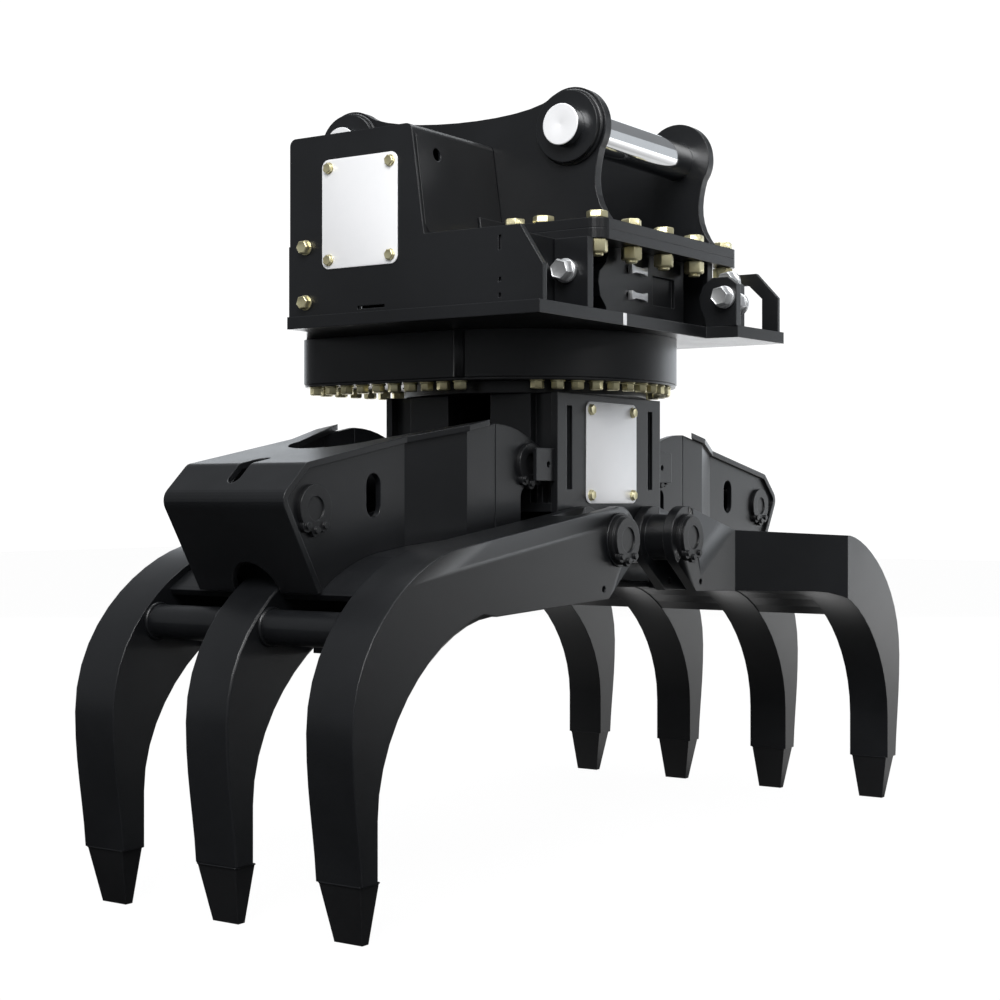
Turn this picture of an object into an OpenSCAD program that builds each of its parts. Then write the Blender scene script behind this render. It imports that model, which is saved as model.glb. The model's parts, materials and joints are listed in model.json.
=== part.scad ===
// Rotating root grapple: a three tine claw and a four tine claw under a slewing head.
// X is the opening direction, Y runs along the claw hinge pins, Z is up from the tine tips.
// It is drawn fully open and standing on its tips.

/* [Stance] */
// Height of the claw hinge pins above the tine tips
hinge_z = 718; // [690:1:750]
// Distance from the centre to each claw hinge pin
hinge_x = 158; // [150:1:166]
// Height of the slew housing's underside above the claw hinge pins
neck_h = 359; // [345:1:400]

/* [Tines] */
// Spacing of neighbouring tines in one claw
tine_pitch = 300; // [290:1:320]
// Width of a tine
tine_w = 108; // [90:1:112]
// Distance from the centre to a tine's back where it reaches widest
tine_reach = 1095; // [1070:1:1130]
// Depth of a tine across its hanging part
tine_depth = 85; // [75:1:95]
// Length over which the arm turns down to the tine's back
bend_run = 333; // [320:1:350]
// Depth of the arm where it starts to turn down
arm_depth = 140; // [125:1:150]
// Height of the widest point of the tine's back
belly_z = 384; // [360:1:400]
// Amount that the tine's back leans in from its widest point to the tip
tine_lean = 28; // [15:1:40]
// Radius of the arm's end round its hinge pin
hub_r = 74; // [68:1:78]
// Thickness of the cheek plates on the hinge ends
cheek_t = 4; // [3:1:6]

/* [Tips] */
// Height of a replaceable tip
tip_h = 112; // [90:1:130]
// Width of a tip at its top
tip_top_w = 97; // [80:1:100]
// Width of a tip at its point
tip_end_w = 65; // [50:1:75]
// Thickness of a tip at its point
tip_end_t = 18; // [12:1:26]
// Thickness of a tip at its top
tip_top_t = 54; // [45:1:57]

/* [Claw plates] */
// Depth of the back plate below the tines' backs
back_inset = 14; // [10:1:18]
// Thickness of the back plate
back_t = 14; // [10:1:16]
// Thickness of the palm plate
palm_t = 12; // [8:1:16]
// Outside diameter of the cross tube
tube_d = 68; // [60:1:72]
// Half width across the four tine claw's hinge ends
wide_hub_y = 351; // [346:1:356]

/* [Hoods] */
// Thickness of the hood plates
hood_t = 13; // [10:1:16]
// Half width of the hood over the rod end
hood_nose_y = 146; // [140:1:152]
// Half width of the hood at its inner end
hood_root_y = 199; // [194:1:204]
// Distance from the centre to the hood's inner end
hood_root_x = 420; // [415:1:430]
// Height of the hood's inner end above the claw hinge pins
hood_root_h = 264; // [258:1:272]
// Distance of the hood's foremost edge behind the tines' backs
hood_set_back = 37; // [30:1:45]
// Height of the hood's foremost edge above the claw hinge pins
hood_nose_h = 92; // [86:1:98]

/* [Cylinders] */
// Distance from the centre to a cylinder's anchor pin
anchor_x = 290; // [286:1:294]
// Height of a cylinder's anchor pin above the claw hinge pins
anchor_h = 166; // [162:1:170]
// Distance of a rod pin behind the tines' backs
rod_pin_set_back = 139; // [133:1:145]
// Height of a rod pin above the claw hinge pins
rod_pin_h = 72; // [68:1:76]
// Outside diameter of a cylinder barrel
barrel_d = 120; // [110:1:124]
// Bore of a cylinder barrel
barrel_bore = 100; // [90:1:102]
// Diameter of a piston rod
rod_d = 56; // [50:1:60]
// Diameter of the pins at both ends of a cylinder
cyl_pin_d = 58; // [54:1:62]
// Free play round the anchor pin, which takes up the swing that a fixed ratio cannot follow
anchor_play = 23; // [22:0.5:25]

/* [Hinges] */
// Diameter of the claw hinge pins
hinge_pin_d = 70; // [64:1:76]
// Radius of the retaining flanges on the claw hinge pins
hinge_flange_r = 50; // [46:1:54]
// Radius of the retaining flanges on the cylinder pins
cyl_flange_r = 46; // [42:1:48]
// Thickness of the retaining flanges
flange_disc_t = 9; // [8:1:11]
// Thickness of the collar under a hinge pin's retaining flange
hinge_collar_t = 9; // [6:1:14]
// Thickness of the two plates of an arm's forked hinge end
fork_t = 24; // [20:1:30]
// Radial clearance of every turning pin
pin_fit = 0.1; // [0.05:0.01:0.1]

/* [Rotor frame] */
// Half length of the frame across the hinges
frame_x = 232; // [228:1:236]
// Half width of the frame along the hinges
frame_y = 238; // [234:1:240]
// Thickness of the frame's face plates
face_t = 16; // [12:1:20]
// Width of the four columns
column_w = 108; // [96:1:116]
// Thickness of the four columns
column_t = 22; // [16:1:26]
// Distance from the middle to the inner edge of a column
column_gap = 59; // [57:1:62]
// Radius of the frame's hinge tubes
hinge_tube_r = 62; // [56:1:64]
// Distance of the frame's top flange inside the ring gear's pitch circle
rotor_flange_step = 20; // [18:1:28]
// Thickness of the frame's top flange
rotor_flange_t = 35; // [30:1:38]
// Thickness of the anchor lugs
lug_t = 14; // [10:1:16]

/* [Slew drive] */
// Room between the ring gear's pitch circle and the outside of the slew housing
housing_room = 52; // [48:1:58]
// Height of the slew housing
housing_h = 105; // [98:1:112]
// Wall of the slew housing
housing_wall = 14; // [10:1:15]
// Gear module
gear_module = 7; // [7:1:7]
// Teeth on the ring gear
ring_teeth = 88; // [88:1:88]
// Teeth on the pinion
pinion_teeth = 12; // [12:1:12]
// Direction of the pinion from the centre, in degrees from +X
pinion_angle = 146; // [144:1:148]
// Distance of the bearing gap inside the ring gear's pitch circle
race_step = 46; // [40:1:52]
// Radial gap between the two slew rings
race_gap = 0.1; // [0.05:0.01:0.1]

/* [Head] */
// Thickness of the base plate
base_t = 27; // [22:1:32]
// Distance from the centre to the cover's flat front
cover_x = 555; // [545:1:570]
// Distance from the centre to the base plate's +X edge
base_x = 378; // [372:1:384]
// Distance from the centre to the base plate's near edge
base_near_y = 408; // [400:1:416]
// Distance from the centre to the base plate's far edge
base_far_y = 430; // [420:1:440]
// Height of the head frame between base plate and top flange
head_frame_h = 154; // [150:1:170]
// Thickness of each of the two bolted plates
bolt_plate_t = 22; // [18:1:24]
// Half length of the two bolted plates
bolt_plate_x = 318; // [312:1:322]
// Distance from the centre to the bolted plates' near edge
bolt_plate_near = 402; // [398:1:408]
// Distance from the centre to the bolted plates' far edge
bolt_plate_far = 425; // [418:1:430]
// Thickness of the head frame's webs
web_t = 24; // [18:1:26]

/* [Cover] */
// Thickness of the cover's sheet
cover_t = 6; // [4:1:8]
// Height of the cover's tall part above the base plate
cover_h = 393; // [380:1:405]
// Height of the cover's shoulder above the base plate
shoulder_h = 156; // [150:1:158]
// Distance from the centre to the cover's far side
cover_far_y = 257; // [250:1:265]
// Distance from the centre to the tall part's near side at its top
tall_near_y = 80; // [75:1:90]
// Width of a nameplate on the cover
plate_w = 206; // [190:1:215]
// Height of a nameplate on the cover
plate_h = 238; // [225:1:245]
// Width of the nameplate on the frame
frame_plate_w = 226; // [215:1:235]
// Height of the nameplate on the frame
frame_plate_h = 232; // [220:1:240]
// Thickness of the nameplates
plate_t = 3; // [2:0.5:4]

/* [Coupler bracket] */
// Diameter of the two coupler pins
coupler_pin_d = 90; // [80:1:94]
// Clear width between the two ears
ear_gap = 453; // [440:1:466]
// Thickness of an ear
ear_t = 24; // [20:1:28]
// Distance from the centre to the near coupler pin
near_pin_y = 285; // [280:1:290]
// Distance from the centre to the far coupler pin
far_pin_y = 326; // [318:1:345]
// Height of the near coupler pin above the bracket's base plate
near_pin_h = 212; // [200:1:215]
// Height of the far coupler pin above the bracket's base plate
far_pin_h = 231; // [220:1:238]
// Radius of the ear round a coupler pin
ear_r = 88; // [84:1:92]
// Thickness of the collars outside the ears
collar_t = 20; // [16:1:24]
// Length of a coupler pin outside its collars
pin_stand_out = 24; // [15:1:35]

/* [Fasteners] */
// Width across the flats of the big plate bolts' heads
big_head_af = 41; // [36:1:41]
// Shank diameter of the big plate bolts
big_bolt_d = 27; // [22:1:27]
// Width across the flats of the housing bolts' heads
small_head_af = 27; // [22:1:30]
// Width across the flats of the nameplate screws' heads
screw_head_af = 17; // [14:1:20]

/* [Hidden] */
$fn = 64;
fine = 128;
// Length by which every cut runs past what it cuts
over = 40;
// Depth by which an outline starts inside the round end that it grows from
tuck = 1;
// Levels above the tine tips
housing_z = hinge_z + neck_h;
base_z = housing_z + housing_h;
deck_z = base_z + base_t;
web_top_z = deck_z + head_frame_h;
bracket_z = web_top_z + 2 * bolt_plate_t;
// Radius that clears the whole machine in every direction
reach_all = 2 * tine_reach;

// Arm and tine outline, in distance from the centre and height
arm_dip = 4;
arm_z = hinge_z - arm_dip;
bend_x = tine_reach - bend_run;
bend_w = bend_run;
bend_h = arm_z - belly_z;
arm_fall_share = 0.12;
back_handle_shares = [0.36, 0.60];
lean_handle_shares = [0.40, 0.35];
lean_foot_share = 0.25;
palm_lead = 122;
palm_x = bend_x - palm_lead;
palm_z = arm_z - arm_depth;
inner_x = tine_reach - tine_depth;
inner_z = 225;
inner_handle_shares = [0.46, 0.52];
foot_out = 47;
foot_drop = 128;
foot_x = hinge_x + foot_out;
foot_z = hinge_z - foot_drop;
root_step = 10;
inner_root_x = hood_root_x + root_step;
shoulder_x = tine_reach - tine_lean;
tip_set_in = 1.5;
tip_lean_out = 27;

function bezier(a, b, c, d, n) = [for (i = [0:n]) let (t = i / n)
    a * pow(1 - t, 3) + b * 3 * t * pow(1 - t, 2) + c * 3 * t * t * (1 - t) + d * pow(t, 3)];
function flip(path) = [for (i = [len(path) - 1:-1:0]) path[i]];
function side(a, b) = let (d = (b - a) / norm(b - a)) [-d[1], d[0]];
function shifted(path, by) = [for (i = [0:len(path) - 1])
    i == 0 ? path[0] + by * side(path[0], path[1])
    : i == len(path) - 1 ? path[i] + by * side(path[i - 1], path[i])
    : let (m = side(path[i - 1], path[i]), n = side(path[i],
        path[i + 1])) path[i] + by * (m + n) / (1 + m * n)];
function band(path, thick) = concat(path, flip(shifted(path, thick)));
// Points of the arc of radius r that rounds the corner b between a and c
function rounded_corner(a, b, c, r, n) = let (u = (a - b) / norm(a - b), v = (c - b) / norm(c - b),
    half = acos(u * v) / 2, m = b + (u + v) / norm(u + v) * r / sin(half),
    p = b + u * r / tan(half), q = b + v * r / tan(half),
    a0 = atan2(p[1] - m[1], p[0] - m[0]), turn = (atan2(q[1] - m[1], q[0] - m[0]) - a0 + 540) % 360 - 180)
    [for (i = [0:n]) polar(m, r, a0 + turn * i / n)];
function polar(c, r, a) = c + r * [cos(a), sin(a)];
// Point where the line from p touches the circle round c, on the given side
function touch(c, r, p, hand) = let (d = p - c)
    polar(c, r, atan2(d[1], d[0]) + hand * acos(r / norm(d)));

hinge = [hinge_x, hinge_z];
bend = [bend_x, arm_z];
belly = [tine_reach, belly_z];
foot = [foot_x, foot_z];
back_bend = bezier(bend, bend + bend_w * back_handle_shares[0] * [1, -arm_fall_share],
    belly + [0, bend_h * back_handle_shares[1]], belly, 12);
back_low = bezier(belly, belly - [0, (belly_z - tip_h) * lean_handle_shares[0]],
    [shoulder_x + tine_lean * lean_foot_share, tip_h + (belly_z - tip_h) * lean_handle_shares[1]],
        [shoulder_x, tip_h], 6);
back_path = concat([touch(hinge, hub_r - tuck, bend, 1)], back_bend,
    [for (i = [1:len(back_low) - 1]) back_low[i]]);
splay_start = 250;
splay_rest = 18;
low_arm_rise = 18;
splay_x0 = hinge_x + splay_start;
splay_x1 = bend_x - splay_rest;
low_arm = [splay_x0, arm_z + low_arm_rise];
low_back_path = concat([touch(hinge, hub_r - tuck, low_arm, 1), low_arm],
    [for (i = [1:len(back_path) - 1]) back_path[i]]);
palm_bend = bezier([palm_x, palm_z], [palm_x + (inner_x - palm_x) * inner_handle_shares[0],
    palm_z - arm_dip],
    [inner_x, inner_z + (palm_z - inner_z) * inner_handle_shares[1]], [inner_x, inner_z], 12);
palm_path = concat([foot], palm_bend);

// Height of a path above a given distance from the centre
function height_at(path, x) = [for (i = [0:len(path) - 2])
    if (path[i][0] <= x && path[i + 1][0] > x)
        path[i][1] + (path[i + 1][1] - path[i][1]) * (x - path[i][0]) / (path[i + 1][0] - path[i][0])][0];
function between(path, x0, x1) = concat([[x0, height_at(path, x0)]],
    [for (p = path) if (p[0] > x0 && p[0] < x1) p], [[x1, height_at(path, x1)]]);

// Tine rows
three_rows = [-tine_pitch, 0, tine_pitch];
four_rows = [-1.5 * tine_pitch, -0.5 * tine_pitch, 0.5 * tine_pitch, 1.5 * tine_pitch];
wide_y = 1.5 * tine_pitch;
mid_y = 0.5 * tine_pitch;
half_w = tine_w / 2;
claw_face_y = tine_pitch + half_w;

// Back plate, palm and cross tube
back_end_step = 70;
palm_end_step = 165;
palm_start_step = 104;
palm_inset = 2;
tube_step = 4;
tube_rise = 178;
tube_wall = 8;
back_end_x = inner_x - back_end_step;
palm_end_x = inner_x - palm_end_step;
palm_start_x = hinge_x + palm_start_step;
back_start_x = hood_root_x;
tube_x = inner_x - tube_d / 2 - tube_step;
tube_z = belly_z + tube_rise;
function back_top(low) = between(shifted(low ? low_back_path : back_path, -back_inset), back_start_x,
    back_end_x);
palm_face = between(shifted(palm_path, palm_inset), palm_start_x, palm_end_x);

// Hood outline
hood_root_z = hinge_z + hood_root_h;
hood_nose_z = hinge_z + hood_nose_h;
hood_fold_step = [74, 67];
hood_foot_step = [110, 183];
hood_nose_x = tine_reach - hood_set_back;
hood_fold_x = hood_nose_x - hood_fold_step[0];
hood_fold_z = hood_nose_z + hood_fold_step[1];
hood_foot_x = hood_nose_x - hood_foot_step[0];
hood_foot_z = hood_nose_z - hood_foot_step[1];
fold_r = 26;
nose_r = 28;
jog_steps = [103, 248];
jog_x0 = hood_root_x + jog_steps[0];
jog_x1 = hood_root_x + jog_steps[1];
hood_corners = [[hood_root_x, hood_root_z], [hood_fold_x, hood_fold_z], [hood_nose_x, hood_nose_z],
    [hood_foot_x, hood_foot_z]];
function hood_path(inset) = let (c = shifted(hood_corners, -inset)) concat([c[0]],
    rounded_corner(c[0], c[1], c[2], fold_r - inset, 4), rounded_corner(c[1], c[2], c[3], nose_r - inset,
        6), [c[3]]);
hood_lip = 8;
hood_plan_path = [[hood_root_x, hood_root_y], [jog_x0, hood_root_y], [jog_x1, hood_nose_y],
    [hood_nose_x + over, hood_nose_y]];
function hood_seat(low) = between(shifted(low ? low_back_path : back_path, -back_inset), hood_root_x,
    hood_foot_x - seat_step);
seat_step = 12;
cutout_r = 100;
cutout_step = 252;
flare_step = 30;
cutout_end_x = hood_nose_x - cutout_step;
cutout_flare = [[cutout_end_x - cutout_r, cutout_r], [hood_root_x + flare_step, hood_root_y + hood_lip],
    [hood_root_x - over, hood_root_y + hood_lip + over]];
keyhole_w = 30;
keyhole_steps = [140, 32];
keyhole_x0 = hood_nose_x - keyhole_steps[0];
keyhole_x1 = hood_nose_x - keyhole_steps[1];
side_slot_w = 46;
side_slot_h = 88;
side_slot_step = 288;
side_slot_rise = 97;
side_slot_x = hood_nose_x - side_slot_step;
side_slot_z = hinge_z + side_slot_rise;
notch_gap = 5;
notch_r = half_w + notch_gap;

// Cylinders
rod_pin_x = tine_reach - rod_pin_set_back;
rod_pin_z = hinge_z + rod_pin_h;
anchor_z = hinge_z + anchor_h;
cyl_dx = anchor_x - rod_pin_x;
cyl_dz = anchor_z - rod_pin_z;
cyl_len = norm([cyl_dx, cyl_dz]);
cyl_turn = atan2(-cyl_dz, cyl_dx);
rod_eye_r = 50;
rod_eye_w = 84;
anchor_bore_r = cyl_pin_d / 2 + anchor_play;
anchor_eye_wall = 20;
anchor_eye_r = anchor_bore_r + anchor_eye_wall;
anchor_eye_w = 104;
gland_gap = 18;
gland_t = 26;
gland_lip = 6;
gland_start = rod_eye_r + gland_gap;
gland_flange_r = barrel_d / 2 + gland_lip;
barrel_start = gland_start + gland_t;
floor_wall = 22;
barrel_floor = cyl_len - anchor_eye_r - floor_wall;
piston_w = 48;
piston_rest_gap = 4;
port_r = 15;
port_h = 16;
port_bore_r = 8;

// Pin hardware
hinge_pin_r = hinge_pin_d / 2;
cyl_pin_r = cyl_pin_d / 2;
lobe_r = 13;
lobe_bolt_r = 7;
lobe_bolt_t = 5;
lobe_angles = [-128, -90, -52];
lobe_set_share = 0.33;
pin_recess = 3;
pin_end_share = 0.8;
fork_tube_r = 54;
fork_depth = 150;

// Rotor frame
hinge_end_y = claw_face_y + cheek_t;
gear_lift = 3;
floor_z = hinge_z + hinge_tube_r;
floor_t = 20;
frame_top_z = housing_z + gear_lift - rotor_flange_t;
groove_x = 182;
groove_w = 22;
groove_depth = 8;
groove_low = 112;
groove_high = 28;
lug_x0 = frame_x - column_t;
lug_top_r = 92;
boss_gap = 4;
lug_end_gap = 3;
window_w = 88;
window_rise = 34;
window_z0 = hinge_z + window_rise;
window_h = 84;
window_r = 26;
keeper_w = 73;
keeper_h = 72;
keeper_t = 8;
keeper_hole_r = 7;
cheek_step = 10;
foot_hole_in = 22;

// Slew drive
ring_pitch_r = gear_module * ring_teeth / 2;
pinion_pitch_r = gear_module * pinion_teeth / 2;
housing_r = ring_pitch_r + housing_room;
rotor_flange_r = ring_pitch_r - rotor_flange_step;
race_r = ring_pitch_r - race_step;
pinion_at = polar([0, 0], ring_pitch_r + pinion_pitch_r, pinion_angle);
addendum_share = 0.92;
dedendum_share = 1.2;
backlash_share = 0.06;
press_angle = 20;
gear_floor = 5;
gear_h = 58;
cover_plate_t = 6;
core_r = 46;
sleeve_r = 78;
sleeve_drop = 116;
shaft_r = 18;
inner_race_t = 57;
inner_race_r = race_r - inner_race_t;
gear_rest_z = housing_z + gear_lift;
sleeve_port_share = 0.25;
root_round_share = 0.2;
motor_port_share = 1.4;
wall_turn_share = 0.125;
cover_plate_inset = 3;
flange_gap = 4;
bolt_angles = [-142, 96];
washer_share = 0.12;
washer_r_share = 0.62;
head_share = 0.62;

// Head
base_lip = 12;
base_step = 2;
base_cut = [295, 500];
base_left_x = cover_x + base_lip;
tab_x0 = 146;
tab_x1 = 154;
tab_out = 78;
tab_slope = 10;
lobe_flat_x = housing_r;
lobe_near_y = -60;
lobe_far_y = 420;
lobe_corner_r = 70;
facet_angle = 213.3;
facet = polar([0, 0], housing_r, facet_angle);
bolt_inset = 30;
bolt_pitch = 46;

// Rounded outline of the given size, centred
module rounded(w, h, r) {
    square([w - 2 * r, h], center = true);
    square([w, h - 2 * r], center = true);
    for (i = [-1, 1], j = [-1, 1]) translate([i * (w / 2 - r), j * (h / 2 - r)]) circle(r);
}

// Extrudes an outline drawn in X and Z along Y, or one drawn in Y and Z along X
module along_y(y0, y1) translate([0, y1, 0]) rotate([90, 0, 0]) linear_extrude(y1 - y0) children();
module along_x(x0, x1) translate([x0, 0, 0]) rotate([90, 0, 90]) linear_extrude(x1 - x0) children();
module rod_y(x, z, r, y0, y1) along_y(y0, y1) translate([x, z]) circle(r);
module both_ends() for (s = [0, 1]) mirror([0, s, 0]) children();
module left() mirror([1, 0, 0]) children();
module hexagon(af) circle(r = af / sqrt(3), $fn = 6);

// Claw outlines

// Outline of a tine; the four tine claw's arms run lower behind their hinge ends
module tine_outline(rooted, low = false) {
    difference() {
        union() {
            polygon(concat(low ? low_back_path : back_path, [[shoulder_x - tip_top_t - 2 * tip_set_in,
                tip_h]], flip(palm_path),
                [touch(hinge, hub_r - tuck, foot, -1), hinge]));
            translate(hinge) circle(hub_r);
        }
        if (rooted) translate([inner_root_x - reach_all, 0]) square([reach_all, reach_all]);
        else translate(hinge) circle(hinge_pin_r + pin_fit);
    }
}

module tine_at(y, rooted, low = false) along_y(y - half_w, y + half_w) tine_outline(rooted, low);

// Outer tine of the four tine claw: its arm splays out from the hinge end to the wide tine
module splayed_tine() color("#2c2f34") difference() {
    intersection() {
        along_y(0, reach_all) tine_outline(false, true);
        linear_extrude(reach_all) polygon([[0, wide_hub_y - tine_w], [splay_x0, wide_hub_y - tine_w],
            [splay_x1, wide_y - half_w], [reach_all, wide_y - half_w], [reach_all, wide_y + half_w],
            [splay_x1, wide_y + half_w], [splay_x0, wide_hub_y], [0, wide_hub_y]]);
    }
    fork_pocket(wide_hub_y - half_w);
    foot_hole();
}

// Pocket between the two plates of a forked hinge end, round its bush tube
module fork_pocket(y) along_y(y - half_w + fork_t, y + half_w - fork_t) difference() {
    square([hinge_x + fork_depth, reach_all]);
    translate(hinge) circle(fork_tube_r);
}

// Drain hole through both plates of a forked hinge end
module foot_hole() along_y(-reach_all, reach_all) translate([foot_x + foot_hole_in, foot_z + foot_hole_in])
    circle(lobe_bolt_r);

module tine(y) color("#2c2f34") difference() {
    tine_at(y, false);
    fork_pocket(y);
    foot_hole();
}
module rooted_tine(y, low = false) color("#2c2f34") tine_at(y, true, low);

module tip_at(y) {
    intersection() {
        along_y(y - half_w, y + half_w) polygon([[shoulder_x - tip_top_t - tip_set_in, tip_h],
            [shoulder_x - tip_set_in, tip_h], [shoulder_x - tip_lean_out, 0],
            [shoulder_x - tip_lean_out - tip_end_t, 0]]);
        along_x(0, reach_all) translate([y, 0]) polygon([[-tip_top_w / 2, tip_h], [tip_top_w / 2, tip_h],
            [tip_end_w / 2, 0], [-tip_end_w / 2, 0]]);
    }
}

module tips(rows) color("#222428") for (y = rows) tip_at(y);

// Plan of the spaces between the tines, where the cross plates lie
module three_gaps(x0, x1) both_ends() translate([x0, half_w]) square([x1 - x0, tine_pitch - tine_w]);
module four_gaps(x0, x1) {
    translate([x0, half_w - mid_y]) square([x1 - x0, tine_pitch - tine_w]);
    both_ends() polygon([[x0, mid_y + half_w], [x0, wide_hub_y - tine_w], [splay_x0, wide_hub_y - tine_w],
        [splay_x1, wide_y - half_w], [x1, wide_y - half_w], [x1, mid_y + half_w]]);
}
module cut_to_gaps(four, x0, x1) {
    intersection() {
        children();
        linear_extrude(reach_all) if (four) four_gaps(x0, x1); else three_gaps(x0, x1);
    }
}
module across() along_y(-reach_all, reach_all) children();

module back_plate(four) color("#26292e")
    cut_to_gaps(four, back_start_x, back_end_x) across() polygon(band(back_top(four), -back_t));

module palm_plate(four) color("#24272b")
    cut_to_gaps(four, palm_start_x, palm_end_x) across() polygon(band(palm_face, palm_t));

module cross_tube(four) color("#2a2d31")
    cut_to_gaps(four, palm_end_x, tine_reach) across() difference() {
        translate([tube_x, tube_z]) circle(tube_d / 2);
        translate([tube_x, tube_z]) circle(tube_d / 2 - tube_wall);
    }

// Hood over a cylinder

module tine_profiles(four) {
    if (four) both_ends() tine_at(mid_y, true, true);
    else tine_at(0, true);
}

module hood_cover(four) color("#2b2e33") {
    difference() {
        intersection() {
            across() polygon(concat(hood_path(0), flip(hood_path(hood_t))));
            linear_extrude(reach_all) let (edge = shifted(hood_plan_path, hood_lip))
                polygon(concat(edge, flip([for (p = edge) [p[0], -p[1]]])));
        }
        linear_extrude(reach_all) {
            translate([cutout_end_x - cutout_r, 0]) circle(cutout_r);
            polygon(concat(cutout_flare, flip([for (p = cutout_flare) [p[0], -p[1]]])));
        }
        translate([0, 0, hood_nose_z]) linear_extrude(reach_all) {
            for (x = [keyhole_x0, keyhole_x1 - keyhole_w]) translate([x + keyhole_w / 2,
                0]) circle(keyhole_w / 2);
            translate([keyhole_x0 + keyhole_w / 2, -keyhole_w / 2])
                square([keyhole_x1 - keyhole_x0 - keyhole_w, keyhole_w]);
        }
        along_x(hood_foot_x - over, hood_nose_x) translate([0, hood_foot_z]) circle(notch_r);
        if (four) tine_profiles(true);
    }
}

module hood_sides(four) color("#27292e") both_ends() {
    along_y(rod_eye_w / 2 + boss_gap, hood_nose_y - hood_t) translate([rod_pin_x, rod_pin_z]) difference() {
        circle(cyl_flange_r);
        circle(cyl_pin_r + pin_fit);
    }
    difference() {
        intersection() {
            across() difference() {
                polygon(concat(hood_path(hood_t), flip(hood_seat(four))));
                translate([rod_pin_x, rod_pin_z]) circle(cyl_pin_r + pin_fit);
                for (s = [-1, 1]) translate([side_slot_x,
                    side_slot_z + s * (side_slot_h - side_slot_w) / 2])
                    circle(side_slot_w / 2);
                translate([side_slot_x, side_slot_z]) square([side_slot_w, side_slot_h - side_slot_w],
                    center = true);
            }
            linear_extrude(reach_all) polygon(band(hood_plan_path, -hood_t));
        }
        if (four) tine_profiles(true);
    }
}

// Round retaining flange with a recessed pin end and three bolted lobes, facing -Y
module pin_flange(x, z, r, pin_r, y) {
    along_y(y - flange_disc_t, y) difference() {
        union() {
            translate([x, z]) circle(r);
            for (a = lobe_angles) translate(polar([x, z], r - lobe_r * lobe_set_share, a)) circle(lobe_r);
        }
        translate([x, z]) circle(pin_r);
    }
    rod_y(x, z, pin_r, y - flange_disc_t + pin_recess, y);
    for (a = lobe_angles) let (c = polar([x, z], r - lobe_r * lobe_set_share, a))
        rod_y(c[0], c[1], lobe_bolt_r, y - flange_disc_t - lobe_bolt_t, y - flange_disc_t);
}

module pin_with_flanges(x, z, r, flange_r, half, collar = 0) color("#3a3d42") {
    union() {
        rod_y(x, z, r, -half - collar, half + collar);
        if (collar > 0) both_ends() rod_y(x, z, flange_r + lobe_bolt_t, -half - collar, -half);
        both_ends() pin_flange(x, z, flange_r, r * pin_end_share, -half - collar);
    }
}

module rod_pin() pin_with_flanges(rod_pin_x, rod_pin_z, cyl_pin_r, cyl_flange_r, hood_nose_y);

// Round doubler plates on the hinge ends, under the pins' collars
module cheeks() color("#2a2d32") both_ends() along_y(claw_face_y, hinge_end_y) difference() {
    intersection() {
        tine_outline(false);
        translate(hinge) circle(hinge_flange_r + cheek_step);
    }
}

// Hydraulic cylinder, drawn along X from the rod pin towards the anchor pin

module on_cylinder() translate([rod_pin_x, 0, rod_pin_z]) rotate([0, cyl_turn, 0]) children();
module rod_x(r, x0, x1) translate([x0, 0, 0]) rotate([0, 90, 0]) cylinder(r = r, h = x1 - x0);

module barrel() color("#303338") on_cylinder() {
    difference() {
        union() {
            rod_x(barrel_d / 2, barrel_start, cyl_len - anchor_bore_r - port_r / 2);
            rod_y(cyl_len, 0, anchor_eye_r, -anchor_eye_w / 2, anchor_eye_w / 2);
            for (x = [barrel_start + over, barrel_floor - over]) translate([x, 0, 0]) rotate([180, 0, 0])
                cylinder(r = port_r, h = barrel_d / 2 + port_h);
        }
        rod_x(barrel_bore / 2, barrel_start - over, barrel_floor);
        rod_y(cyl_len, 0, anchor_bore_r, -anchor_eye_w, anchor_eye_w);
        for (x = [barrel_start + over, barrel_floor - over]) translate([x, 0, 0]) rotate([180, 0, 0])
            cylinder(r = port_bore_r, h = barrel_d);
    }
}

module gland() color("#54585e") on_cylinder() difference() {
    rod_x(gland_flange_r, gland_start, barrel_start);
    rod_x(rod_d / 2 + pin_fit, gland_start - over, barrel_start + over);
}

module piston_rod() color("#c9ccd0") on_cylinder() difference() {
    union() {
        rod_y(0, 0, rod_eye_r, -rod_eye_w / 2, rod_eye_w / 2);
        rod_x(rod_d / 2, rod_eye_r / 2, barrel_floor - piston_rest_gap);
        rod_x(barrel_bore / 2 - pin_fit, barrel_floor - piston_rest_gap - piston_w,
            barrel_floor - piston_rest_gap);
    }
    rod_y(0, 0, cyl_pin_r + pin_fit, -rod_eye_w, rod_eye_w);
}

// Rotor frame

module face_outline() {
    difference() {
        union() {
            translate([-frame_x, floor_z]) square([2 * frame_x, frame_top_z - floor_z]);
            polygon([[-hinge_x - hinge_tube_r, hinge_z], [hinge_x + hinge_tube_r, hinge_z], [frame_x,
                floor_z],
                [-frame_x, floor_z]]);
            for (s = [-1, 1]) translate([s * hinge_x, hinge_z]) circle(hinge_tube_r);
        }
        for (s = [-1, 1]) translate([s * hinge_x, hinge_z]) circle(hinge_pin_r + pin_fit);
    }
}

module frame_faces() color("#232529") both_ends() difference() {
    along_y(-frame_y, -frame_y + face_t) face_outline();
    for (s = [-1, 1]) translate([s * groove_x - groove_w / 2, -frame_y - over, hinge_z + groove_low])
        cube([groove_w, over + groove_depth, frame_top_z - groove_high - hinge_z - groove_low]);
}

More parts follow.
